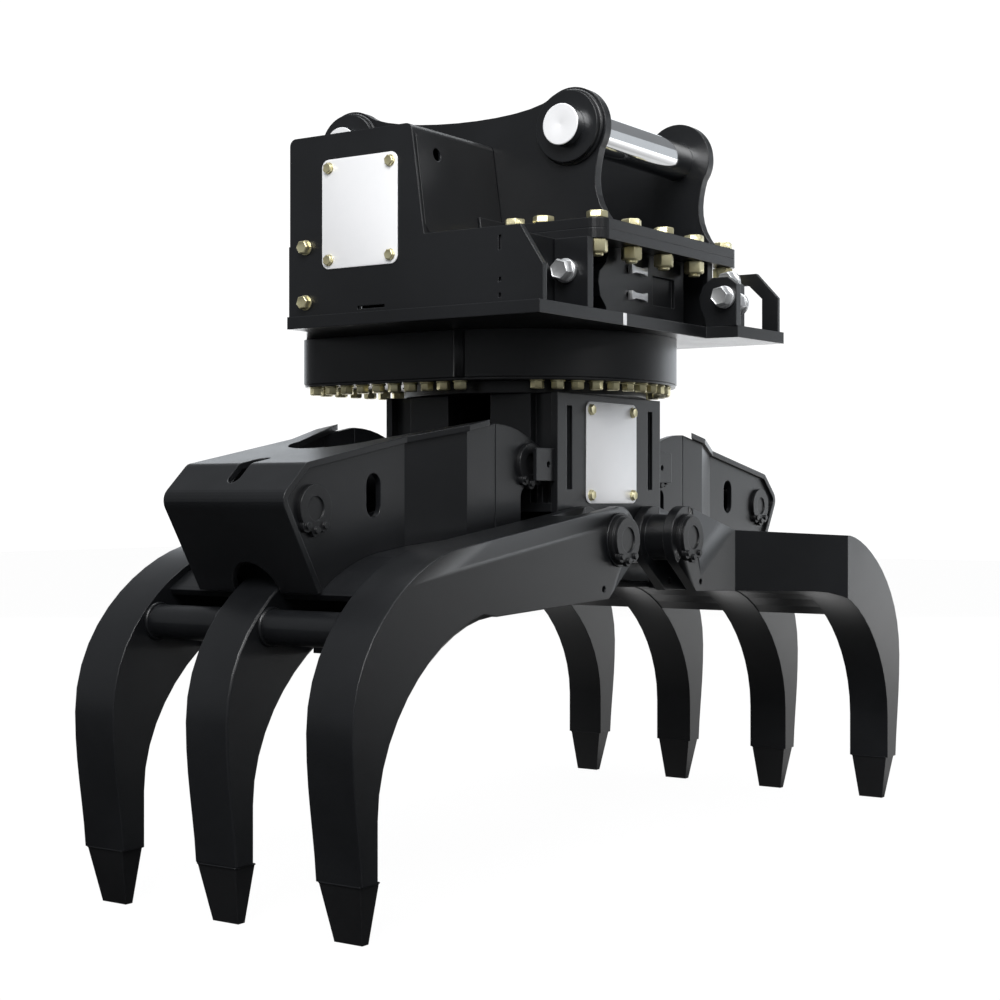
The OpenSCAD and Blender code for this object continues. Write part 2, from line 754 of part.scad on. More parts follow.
module frame_columns() color("#26282c") {
    for (i = [0, 1]) mirror([i, 0, 0]) both_ends()
        translate([frame_x - column_t, column_gap, floor_z + floor_t])
            cube([column_t, column_w, frame_top_z - floor_z - floor_t]);
    for (i = [0, 1]) mirror([i, 0, 0]) both_ends()
        translate([frame_x - 2 * column_t, column_gap, floor_z + floor_t])
            cube([column_t, frame_y - face_t - column_gap, frame_top_z - floor_z - floor_t]);
    translate([-frame_x, face_t - frame_y, floor_z]) cube([2 * frame_x, 2 * (frame_y - face_t), floor_t]);
}

module hinge_tubes() color("#26282c") for (s = [-1, 1])
    along_y(face_t - frame_y, frame_y - face_t) translate([s * hinge_x, hinge_z]) difference() {
        circle(hinge_tube_r);
        circle(hinge_pin_r + pin_fit);
    }

module hinge_pin(half)
    pin_with_flanges(hinge_x, hinge_z, hinge_pin_r, hinge_flange_r, half, hinge_collar_t);

// Lug plate of a cylinder's anchor, with its boss on the inner side
module anchor_lug() {
    along_y(-hood_root_y, lug_t - hood_root_y) difference() {
        intersection() {
            translate([lug_x0, window_z0 - lug_t]) square([hood_root_x - lug_end_gap - lug_x0, reach_all]);
            polygon(concat([[lug_x0, 0], [hood_root_x, 0]], bezier([hood_root_x, hood_root_z - hood_t],
                [hood_root_x - lug_top_r, hood_root_z - hood_t], [anchor_x,
                    anchor_z + hood_t + cyl_flange_r],
                [lug_x0, anchor_z + cyl_flange_r / 2], 8)));
        }
        translate([frame_x, window_z0]) square([window_w - window_r, window_h]);
        translate([frame_x, window_z0]) square([window_w, window_h - window_r]);
        translate([frame_x + window_w - window_r, window_z0 + window_h - window_r]) circle(window_r);
        translate([anchor_x, anchor_z]) circle(cyl_pin_r);
        translate([lug_x0, 0]) square([frame_x - lug_x0, floor_z + floor_t]);
    }
    along_y(lug_t - hood_root_y, -anchor_eye_w / 2 - boss_gap) translate([anchor_x,
        anchor_z]) difference() {
        circle(cyl_flange_r);
        circle(cyl_pin_r);
    }
}

module anchor_lugs() color("#27292e") for (i = [0, 1]) mirror([i, 0, 0]) both_ends() anchor_lug();

module anchor_pins() for (i = [0, 1]) mirror([i, 0, 0]) pin_with_flanges(anchor_x, anchor_z, cyl_pin_r,
    cyl_flange_r, hood_root_y);

module pin_keepers() color("#34373c") for (i = [0, 1]) mirror([i, 0, 0]) both_ends()
    along_y(face_t - frame_y - keeper_t, face_t - frame_y)
        difference() {
            translate([frame_x, anchor_z - keeper_h / 2]) square([keeper_w, keeper_h]);
            translate([frame_x + keeper_w / 3, anchor_z]) circle(keeper_hole_r);
        }

module rotor_flange() color("#2a2c30") translate([0, 0, gear_rest_z - rotor_flange_t])
    linear_extrude(rotor_flange_t) difference() {
        circle(rotor_flange_r, $fn = fine);
        circle(sleeve_r);
    }

module swivel_sleeve() color("#3b3e44") translate([0, 0, gear_rest_z - sleeve_drop])
    difference() {
        union() {
            cylinder(r = sleeve_r, h = sleeve_drop);
            for (a = [0:90:270]) rotate(a) translate([0, 0,
                sleeve_drop * sleeve_port_share]) rod_x(port_r, 0, sleeve_r + port_h);
        }
        translate([0, 0, lug_t]) cylinder(r = core_r + pin_fit, h = sleeve_drop);
    }

// Slew drive

// Involute gear outline with flanks of four points a side
function involute(rb, r) = let (t = sqrt(max(0, r * r / rb / rb - 1))) t * 180 / PI - atan(t);
function gear_points(z, m) = let (
    rp = m * z / 2, rb = rp * cos(press_angle), ro = rp + m * addendum_share, ri = rp - m * dedendum_share,
    half = 90 / z * (1 - backlash_share) + involute(rb, rp),
    radii = [ri, max(rb, ri + m * root_round_share), rp, (rp + ro) / 2, ro])
    [for (i = [0:z - 1], k = [0:2 * len(radii) - 1])
        let (up = k < len(radii), r = up ? radii[k] : radii[2 * len(radii) - 1 - k],
            a = half - involute(rb, max(r, rb)))
        polar([0, 0], r, 360 / z * i + (up ? -a : a))];

module ring_gear() color("#6a6d72") translate([0, 0, gear_rest_z]) linear_extrude(gear_h) difference() {
    rotate(pinion_angle) polygon(gear_points(ring_teeth, gear_module));
    circle(race_r + race_gap, $fn = fine);
}

module slew_inner_race() color("#6a6d72") translate([0, 0, gear_rest_z + gear_floor])
    linear_extrude(base_z - gear_rest_z - gear_floor) difference() {
        circle(race_r, $fn = fine);
        circle(inner_race_r, $fn = fine);
    }

module pinion() color("#7c8086") translate([pinion_at[0], pinion_at[1], gear_rest_z]) {
    linear_extrude(gear_h) rotate(pinion_angle + 180 + 180 / pinion_teeth)
        polygon(gear_points(pinion_teeth, gear_module));
    cylinder(r = shaft_r, h = deck_z - gear_rest_z + gearbox_h / 2);
}

gearbox_r = 56;
gearbox_h = 50;
motor_r = 46;
motor_h = 80;
motor_cap_h = 16;

module slew_motor() color("#33363b") translate([pinion_at[0], pinion_at[1], deck_z]) difference() {
    union() {
        cylinder(r = gearbox_r, h = gearbox_h);
        translate([0, 0, gearbox_h]) cylinder(r = motor_r, h = motor_h);
        translate([0, 0, gearbox_h + motor_h]) cylinder(r = motor_r - port_r, h = motor_cap_h);
        translate([0, 0, gearbox_h + motor_h / 2]) for (s = [-1, 1]) translate([0,
            s * port_r * motor_port_share, 0])
            rotate([0, 0, 180]) rod_x(port_r, 0, motor_r + port_h);
    }
    translate([0, 0, -over]) cylinder(r = shaft_r + pin_fit, h = gearbox_h / 2 + over + pin_recess);
}

// Outline of the slew housing: a drum with a lobe for the pinion and a flat front
module housing_outline(inset) {
    circle(housing_r - inset, $fn = fine);
    translate([lobe_corner_r - lobe_flat_x, lobe_far_y - lobe_corner_r]) circle(lobe_corner_r - inset);
    polygon([[inset - lobe_flat_x, lobe_far_y - lobe_corner_r], [inset - lobe_flat_x,
        lobe_near_y + inset * wall_turn_share],
        facet * (1 - inset / norm(facet)), [0, 0], [0, housing_r - inset],
        [lobe_corner_r - lobe_flat_x, lobe_far_y - inset]]);
}

module ring_housing() color("#2a2d31") translate([0, 0, housing_z]) linear_extrude(housing_h) difference() {
    housing_outline(0);
    housing_outline(housing_wall);
}

module bottom_cover() color("#1f2124") translate([0, 0,
    housing_z - cover_plate_t]) linear_extrude(cover_plate_t)
    difference() {
        housing_outline(cover_plate_inset);
        circle(rotor_flange_r + flange_gap, $fn = fine);
    }

function bolt_ring_spots() = concat(
    [for (a = [bolt_angles[0]:360 * bolt_pitch / (2 * PI * (housing_r - bolt_inset)):bolt_angles[1]])
        polar([0, 0], housing_r - bolt_inset, a)],
    [for (y = [lobe_near_y + bolt_inset / 2:bolt_pitch:lobe_far_y - bolt_inset]) [bolt_inset -
        lobe_flat_x, y]],
    [for (x = [bolt_inset + bolt_pitch - lobe_flat_x:bolt_pitch:-bolt_pitch])
        [x, lobe_far_y - bolt_inset + (housing_r - lobe_far_y) * (x + lobe_flat_x) / lobe_flat_x]]);

module housing_bolts() color("#d8cf9e") for (p = bolt_ring_spots())
    translate([p[0], p[1], housing_z - cover_plate_t]) mirror([0, 0, 1]) {
        linear_extrude(small_head_af * washer_share) circle(small_head_af * washer_r_share);
        translate([0, 0, small_head_af * washer_share]) linear_extrude(small_head_af * head_share)
            hexagon(small_head_af);
    }

// Head

module base_outline() polygon([[-base_left_x, cover_far_y - base_step], [-base_left_x, -base_near_y],
    [tab_x0, -base_near_y], [tab_x1, -base_near_y - tab_out], [base_x, -base_near_y - tab_out - tab_slope],
    [base_x, base_far_y], [-base_cut[0], base_far_y], [-base_cut[1], cover_far_y - base_step]]);

module base_plate() color("#2c2f33") translate([0, 0, base_z]) linear_extrude(base_t) difference() {
    base_outline();
    circle(core_r);
    translate(pinion_at) circle(shaft_r + pin_fit);
}

module swivel_core() color("#4b4f55") {
    translate([0, 0, gear_rest_z - sleeve_drop + lug_t + pin_recess])
        cylinder(r = core_r, h = deck_z - gear_rest_z + sleeve_drop - lug_t - pin_recess);
    translate([0, 0, deck_z]) cylinder(r = core_r + port_r, h = over);
}

web_wave_shares = [[0.25, 0.02], [0.3, 0.12], [0.85, 0.27], [1, 0.45], [0.9, 0.62], [0.3, 0.76], [0.1,
    0.88], [0, 1]];
near_web_x0 = -188;
near_web_x1 = 152;
near_web_y = 345;
web_wave = 46;
long_web_near = 60;
side_web_x = 207;
right_web_out = 35;

module near_web() difference() {
    along_y(-near_web_y, web_t - near_web_y) polygon(concat(
        [for (p = web_wave_shares) [near_web_x0 - web_wave * p[0], deck_z + head_frame_h * p[1]]],
        [[near_web_x1, web_top_z], [near_web_x1, deck_z],
            [near_web_x0 - web_wave * web_wave_shares[0][0], deck_z]]));
    translate([recess_x0, -near_web_y - over, deck_z + recess_z0])
        cube([recess_w, over + groove_depth, recess_h]);
    for (z = fitting_zs) along_y(-near_web_y - over, groove_depth - near_web_y)
        translate([fitting_hole_x, deck_z + z]) circle(lobe_bolt_r);
}

fitting_x = -62;
fitting_hole_x = -108;
recess_x0 = 4;
recess_w = 104;
recess_z0 = 42;
recess_h = 66;
fitting_zs = [54, 112];

module side_web(near) along_x(side_web_x, side_web_x + web_t) translate([near, deck_z])
    square([near_web_y - near, head_frame_h]);

module head_webs() color("#222428") {
    near_web();
    along_y(near_web_y - web_t, near_web_y) translate([-ear_gap / 2, deck_z]) square([ear_gap,
        head_frame_h]);
    left() side_web(long_web_near - near_web_y);
    side_web(-right_web_out - near_web_y);
}

wing_t = 22;
wing_zs = [0, 20, 42, 68, 96, 113];
wing_edge_shares = [0.18, 0.15, 0.04, 0, 0.10, 0.36];
right_wing_x = 150;
rear_wing_x = 232;
left_wing_x = -345;
wing_near_y = 488;
wing_far_y = 388;
wing_steps = [4, 36];
rear_wing_step = 6;
rear_wing_share = 1.08;
wing_round = 22;

// Upright plate seen edge on from the front, with a rounded belly on its inner edge
module wing_outline(near, far, top) polygon(concat(
    [for (i = [0:len(wing_zs) - 1]) [-far - (near - far) * wing_edge_shares[i], deck_z + wing_zs[i] * top]],
    [[-near + wing_round, deck_z + wing_zs[5] * top], [-near, deck_z + wing_zs[4] * top], [-near, deck_z]]));

module head_wings() color("#26282c") {
    along_x(right_wing_x, right_wing_x + wing_t) wing_outline(wing_near_y - wing_steps[0], wing_far_y, 1);
    along_x(rear_wing_x, rear_wing_x + wing_t)
        wing_outline(wing_near_y - wing_steps[1], wing_far_y + rear_wing_step, rear_wing_share);
    along_x(left_wing_x, left_wing_x + wing_t) translate([-near_web_y - over, deck_z])
        square([near_web_y + over - shoulder_near_y - base_step, head_frame_h]);
    guard_loop();
}

cap_af = 40;
cap_t = 24;
cap_collar_r = 25;
cap_collar_t = 8;
cap_spots = [[left_wing_x, -332, 84], [right_wing_x, -455, 66], [rear_wing_x, -450, 57], [rear_wing_x,
    -429, 110]];

// Hexagonal caps of the hydraulic ports on the wings, and two small fittings on the near web
module port_caps() color("#c4c8cb") {
    for (p = cap_spots) translate([p[0], p[1], deck_z + p[2]]) rotate([0, -90, 0]) {
        cylinder(r = cap_collar_r, h = cap_collar_t);
        translate([0, 0, cap_collar_t]) linear_extrude(cap_t) hexagon(cap_af);
    }
    for (z = fitting_zs) translate([fitting_x, -near_web_y - lobe_bolt_t, deck_z + z - lobe_bolt_r])
        cube([over, lobe_bolt_t, 2 * lobe_bolt_r]);
}

loop_x = 360;
loop_y0 = 378;
loop_w = 111;
loop_h = 144;
loop_wall = 28;
loop_leg = 17;
loop_foot = 14;
loop_slant = 20;
loop_chamfer = [57, 62];

// Guard of the port caps: a plate standing on the tab with a window open at its foot
module guard_loop() along_x(loop_x, loop_x + wing_t / 2) translate([-loop_y0, deck_z])
    polygon([[0, 0], [0, loop_h], [loop_chamfer[0] - loop_w, loop_h], [-loop_w, loop_h - loop_chamfer[1]],
        [-loop_w, 0], [loop_wall + loop_foot - loop_w, 0], [loop_wall + loop_foot - loop_w,
            loop_h - loop_chamfer[1]],
        [loop_chamfer[0] + loop_slant - loop_w, loop_h - loop_wall], [-loop_leg, loop_h - loop_wall],
            [-loop_leg, 0]]);

module plate_outline() {
    polygon(concat(rounded_corner([-bolt_plate_x, 0], [-bolt_plate_x, -bolt_plate_near], [0, -bolt_plate_near],
        plate_corner_big_r, 6), rounded_corner([0, -bolt_plate_near], [bolt_plate_x, -bolt_plate_near],
        [bolt_plate_x, 0], plate_corner_r, 4), [[bolt_plate_x, bolt_plate_far], [-bolt_plate_x, bolt_plate_far]]));
}

plate_corner_big_r = 32;
plate_bolt_inset = 26;
bolt_row_step = (bolt_plate_x - plate_bolt_inset) / 2;
edge_step = 104;
left_bolt_ys = [-240, -165];
function plate_bolt_spots() = concat(
    [for (i = [-2:2], y = [plate_bolt_inset - bolt_plate_near,
        bolt_plate_far - plate_bolt_inset]) [i * bolt_row_step, y]],
    [for (y = left_bolt_ys) [plate_bolt_inset - bolt_plate_x, y]],
    [for (i = [1:6]) [bolt_plate_x - plate_bolt_inset,
        plate_bolt_inset - bolt_plate_near + i * edge_step]]);

module bolt_holes() for (p = plate_bolt_spots()) translate(p) circle(big_bolt_d / 2);

module top_flange() color("#2b2e32") translate([0, 0,
    web_top_z]) linear_extrude(bolt_plate_t) difference() {
    plate_outline();
    bolt_holes();
    square([2 * side_web_x - 2 * web_t, 2 * near_web_y - 4 * web_t], center = true);
}

module bracket_plate() color("#2b2e32") translate([0, 0,
    web_top_z + bolt_plate_t]) linear_extrude(bolt_plate_t)
    difference() {
        plate_outline();
        bolt_holes();
    }

nut_t = 30;
head_t = 17;

module plate_bolts() color("#d8cf9e") for (p = plate_bolt_spots()) translate([p[0], p[1], 0]) {
    translate([0, 0, web_top_z - nut_t - cover_plate_t])
        cylinder(r = big_bolt_d / 2, h = bracket_z - web_top_z + nut_t + cover_plate_t);
    translate([0, 0, bracket_z]) linear_extrude(head_t) hexagon(big_head_af);
    translate([0, 0, web_top_z - nut_t]) linear_extrude(nut_t) difference() {
        hexagon(big_head_af);
        circle(big_bolt_d / 2);
    }
}

// Coupler bracket

near_pin = [-near_pin_y, bracket_z + near_pin_h];
far_pin = [far_pin_y, bracket_z + far_pin_h];
ear_waist = 54;
ear_foot = 98;
dip_lead = 34;
ear_angles = [212, -32];

// Outline of an ear: two round eyes joined by a web with hollow edges
module ear_outline() {
    r = ear_r - tuck;
    top_a = polar(near_pin, r, 90 - dip_lead);
    top_b = polar(far_pin, r, 90 + dip_lead);
    top_edge = bezier(top_a, top_a + r * [cos(dip_lead), -sin(dip_lead)], top_b - r * [cos(dip_lead),
        sin(dip_lead)],
        top_b, 12);
    near_side = bezier([near_pin[0] - ear_foot, bracket_z], [near_pin[0] - ear_waist,
        bracket_z + ear_waist],
        [near_pin[0] - ear_waist, near_pin[1] - 2 * ear_waist], polar(near_pin, r, ear_angles[0]), 8);
    far_side = bezier(polar(far_pin, r, ear_angles[1]), [far_pin[0] + ear_waist,
        far_pin[1] - 2 * ear_waist],
        [far_pin[0] + ear_waist, bracket_z + ear_waist], [far_pin[0] + ear_foot / 2, bracket_z], 8);
    difference() {
        union() {
            polygon(concat(near_side, [near_pin], top_edge, [far_pin], far_side));
            translate(near_pin) circle(ear_r);
            translate(far_pin) circle(ear_r);
        }
        translate(near_pin) circle(coupler_pin_d / 2);
        translate(far_pin) circle(coupler_pin_d / 2);
    }
}

collar_r = 78;
module bracket_ears() color("#26292d") for (i = [0, 1]) mirror([i, 0, 0]) {
    along_x(ear_gap / 2, ear_gap / 2 + ear_t) ear_outline();
    along_x(ear_gap / 2 + ear_t, ear_gap / 2 + ear_t + collar_t) for (c = [near_pin,
        far_pin]) difference() {
        translate(c) circle(collar_r);
        translate(c) circle(coupler_pin_d / 2);
    }
}

module coupler_pins() color("#e3e6e8") along_x(-coupler_half, coupler_half)
    for (c = [near_pin, far_pin]) translate(c) circle(coupler_pin_d / 2);
coupler_half = ear_gap / 2 + ear_t + collar_t + pin_stand_out;

// Cover of the slew motor and valves

tall_flare = 31;
cover_corner_r = 16;
chamfer_y = 55;
chamfer_z = 84;
tall_inner_x = ear_gap / 2 + ear_t + base_step;
tall_inner_z = 2 * bolt_plate_t + head_t - base_step;
cover_gap = 5;
cover_lap = 3;

module tall_outline(inset) {
    top = deck_z + cover_h - inset;
    low = deck_z + shoulder_h;
    r = cover_corner_r - inset;
    difference() {
        union() {
            polygon([[cover_far_y - inset, low], [cover_far_y - inset, top - r],
                [cover_far_y - inset - r, top],
                [r + inset - tall_near_y, top], [inset - tall_near_y, top - r],
                [inset - tall_near_y - tall_flare, low]]);
            translate([cover_far_y - inset - r, top - r]) circle(r);
            translate([r + inset - tall_near_y, top - r]) circle(r);
        }
    }
}

module cover_tall() difference() {
    along_x(-cover_x, -tall_inner_x) tall_outline(0);
    along_x(cover_t - cover_x, -tall_inner_x + over) tall_outline(cover_t);
    translate([-bolt_plate_x - base_step, -reach_all, 0]) cube([reach_all, 2 * reach_all,
        web_top_z + tall_inner_z]);
    translate([-cover_x, -reach_all, 0]) cube([reach_all, 2 * reach_all, deck_z + shoulder_h]);
    translate([eye_x, 0, deck_z + eye_h]) rotate([90, 0, 0]) cylinder(r = eye_r, h = reach_all);
}

eye_x = -474;
eye_h = 336;
eye_r = 14;

shoulder_near_y = 300;
panel_t = 14;
seam_slots = [[107, 30], [42, 9], [10, 9]];
seam_w = 7;

// Lower part of the cover, open towards the head, behind its wide front panel
module cover_shoulder() {
    difference() {
        translate([-cover_x, -shoulder_near_y, deck_z])
            cube([cover_x - bolt_plate_x - cover_gap, cover_far_y + cover_lap + shoulder_near_y,
                shoulder_h]);
        translate([cover_t - cover_x, cover_t - shoulder_near_y, deck_z - over])
            cube([reach_all, cover_far_y + cover_lap + shoulder_near_y - 2 * cover_t,
                shoulder_h + over - cover_t]);
        translate([cover_t - cover_x, cover_t - tall_near_y - tall_flare, deck_z])
            cube([reach_all, cover_far_y + tall_near_y + tall_flare - 2 * cover_t, reach_all]);
        translate([-cover_x - over, slot_y0, deck_z + slot_z]) cube([2 * over, slot_w, slot_h]);
    }
    difference() {
        along_x(-cover_x, panel_t - cover_x) polygon([[-shoulder_near_y, deck_z],
            [-shoulder_near_y, deck_z + shoulder_h], [chamfer_y - base_near_y, deck_z + shoulder_h],
            [-base_near_y, deck_z + shoulder_h - chamfer_z], [-base_near_y, deck_z]]);
        for (p = seam_slots) translate([-cover_x - over, -shoulder_near_y - seam_w, deck_z + p[0]])
            cube([over + panel_t / 2, seam_w, p[1]]);
    }
}

module cover_box() color("#24262a") {
    cover_tall();
    cover_shoulder();
}

slot_y0 = -7;
slot_w = 74;
slot_z = 8;
slot_h = 6;

// Nameplates, left bare, and their screws

cover_plate_y = 60;
cover_plate_z = 218;
frame_plate_z = 196;
screw_inset = 19;
screw_t = 7;
plate_corner_r = 18;

module cover_nameplate() color("#e9ebec") along_x(-cover_x - plate_t, -cover_x)
    translate([cover_plate_y, deck_z + cover_plate_z]) rounded(plate_w, plate_h, plate_corner_r);

module frame_nameplate() color("#e9ebec") along_y(-frame_y - plate_t, -frame_y)
    translate([0, hinge_z + frame_plate_z]) rounded(frame_plate_w, frame_plate_h, plate_corner_r);

module screw_corners(w, h) for (i = [-1, 1], j = [-1, 1])
    translate([i * (w / 2 - screw_inset), j * (h / 2 - screw_inset)]) hexagon(screw_head_af);

module cover_screws() color("#d8cf9e") {
    along_x(-cover_x - plate_t - screw_t, -cover_x - plate_t)
        translate([cover_plate_y, deck_z + cover_plate_z]) screw_corners(plate_w, plate_h);
    for (z = side_bolt_zs) translate([0, side_bolt_y, deck_z + z]) {
        along_x(-cover_x - cover_plate_t / 2, -cover_x) circle(small_head_af * washer_r_share);
        along_x(-cover_x - cover_plate_t / 2 - head_t, -cover_x - cover_plate_t / 2) hexagon(small_head_af);
    }
}

module frame_screws() color("#d8cf9e") along_y(-frame_y - plate_t - screw_t, -frame_y - plate_t)
    translate([0, hinge_z + frame_plate_z]) screw_corners(frame_plate_w, frame_plate_h);

side_bolt_y = 211;
side_bolt_zs = [30, 151];

// Names of the separate pieces

left() tine(-tine_pitch);  // left_tine_near
left() rooted_tine(0);  // left_tine_middle
left() tine(tine_pitch);  // left_tine_far
left() tips(three_rows);  // left_tips
left() cheeks();  // left_cheeks
left() back_plate(false);  // left_back_plate
left() palm_plate(false);  // left_palm_plate
left() cross_tube(false);  // left_cross_tube
left() hood_cover(false);  // left_hood_cover
left() hood_sides(false);  // left_hood_sides
left() rod_pin();  // left_rod_pin
mirror([0, 1, 0]) splayed_tine();  // right_tine_near
rooted_tine(-mid_y, true);  // right_tine_near_middle
rooted_tine(mid_y, true);  // right_tine_far_middle
splayed_tine();  // right_tine_far
tips(four_rows);  // right_tips
back_plate(true);  // right_back_plate
palm_plate(true);  // right_palm_plate
cross_tube(true);  // right_cross_tube
hood_cover(true);  // right_hood_cover
hood_sides(true);  // right_hood_sides
rod_pin();  // right_rod_pin
left() barrel();  // left_barrel
left() gland();  // left_gland
left() piston_rod();  // left_piston_rod
barrel();  // right_barrel
gland();  // right_gland
piston_rod();  // right_piston_rod
frame_faces();
frame_columns();
hinge_tubes();
left() hinge_pin(hinge_end_y);  // left_hinge_pin
hinge_pin(wide_hub_y);  // right_hinge_pin
anchor_lugs();
anchor_pins();
pin_keepers();
rotor_flange();
swivel_sleeve();
frame_nameplate();
frame_screws();
ring_gear();
pinion();
slew_inner_race();
ring_housing();
bottom_cover();
housing_bolts();
base_plate();
swivel_core();
slew_motor();
head_webs();
head_wings();
port_caps();
top_flange();
bracket_plate();
bracket_ears();
plate_bolts();
coupler_pins();
cover_box();
cover_nameplate();
cover_screws();
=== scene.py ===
"""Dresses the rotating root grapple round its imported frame.

Gives every CAD node its finish, and adds forged tines, fasteners, welds, small sheets and the studio.
"""

import json
import logging
import math
from collections.abc import Callable
from dataclasses import dataclass, field
from enum import Enum
from functools import cache

import bmesh
import bpy
from mathutils import Matrix, Vector


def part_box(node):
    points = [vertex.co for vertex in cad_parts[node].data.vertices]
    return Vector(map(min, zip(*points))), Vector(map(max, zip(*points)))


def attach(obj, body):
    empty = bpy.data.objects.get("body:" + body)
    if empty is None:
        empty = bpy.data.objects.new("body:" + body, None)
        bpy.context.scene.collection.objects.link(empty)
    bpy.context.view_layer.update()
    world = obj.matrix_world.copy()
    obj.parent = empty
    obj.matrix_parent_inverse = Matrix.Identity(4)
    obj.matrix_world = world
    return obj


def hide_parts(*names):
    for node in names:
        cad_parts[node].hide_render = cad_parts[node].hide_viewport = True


logging.basicConfig(level=logging.INFO, format="%(message)s")
LOG = logging.getLogger("grapple")
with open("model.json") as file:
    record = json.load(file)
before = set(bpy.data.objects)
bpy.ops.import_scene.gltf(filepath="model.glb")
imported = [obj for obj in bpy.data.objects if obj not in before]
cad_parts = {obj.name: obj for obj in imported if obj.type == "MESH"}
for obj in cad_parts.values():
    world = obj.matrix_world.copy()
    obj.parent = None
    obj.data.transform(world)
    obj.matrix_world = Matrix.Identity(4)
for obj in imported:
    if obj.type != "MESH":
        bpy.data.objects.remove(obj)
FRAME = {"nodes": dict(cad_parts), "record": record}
Triple = tuple[float, float, float]
Colour = Triple
Piece = bpy.types.Object

# Cosine above which a face looks, or an edge runs, along a direction.
ALONG = 0.9
# Metres within which two places are one, and within which corners are merged.
NEAR = 1e-5
MERGE = 2e-5


class Wire:
    """An output socket that Python's operators extend with Math nodes."""

    def __init__(self, sheet: "Sheet", socket: bpy.types.NodeSocket) -> None:
        """Keeps the socket and the sheet that it is on."""
        self.sheet = sheet
        self.socket = socket

    def _math(self, operation: str, first: "Wire | float", second: "Wire | float") -> "Wire":
        """Adds one Math node and gives its result."""
        return self.sheet.node("ShaderNodeMath", {"operation": operation}, {0: first, 1: second})

    def __add__(self, other: "Wire | float") -> "Wire":
        """Adds."""
        return self._math("ADD", self, other)

    def __radd__(self, other: float) -> "Wire":
        """Adds."""
        return self._math("ADD", other, self)

    def __sub__(self, other: "Wire | float") -> "Wire":
        """Takes away."""
        return self._math("SUBTRACT", self, other)

    def __rsub__(self, other: float) -> "Wire":
        """Is taken away from a number."""
        return self._math("SUBTRACT", other, self)

    def __mul__(self, other: "Wire | float") -> "Wire":
        """Multiplies."""
        return self._math("MULTIPLY", self, other)

    def __rmul__(self, other: float) -> "Wire":
        """Multiplies."""
        return self._math("MULTIPLY", other, self)

    def most(self, other: "Wire | float") -> "Wire":
        """Gives the larger of two."""
        return self._math("MAXIMUM", self, other)

    def held(self) -> "Wire":
        """Holds the value between 0 and 1."""
        return self.sheet.node("ShaderNodeClamp", None, {0: self})

    def ramp(self, low: float, high: float) -> "Wire":
        """Rises smoothly from 0 at low to 1 at high."""
        values = {"Value": self, "From Min": low, "From Max": high}
        return self.sheet.node("ShaderNodeMapRange", {"interpolation_type": "SMOOTHSTEP"}, values)


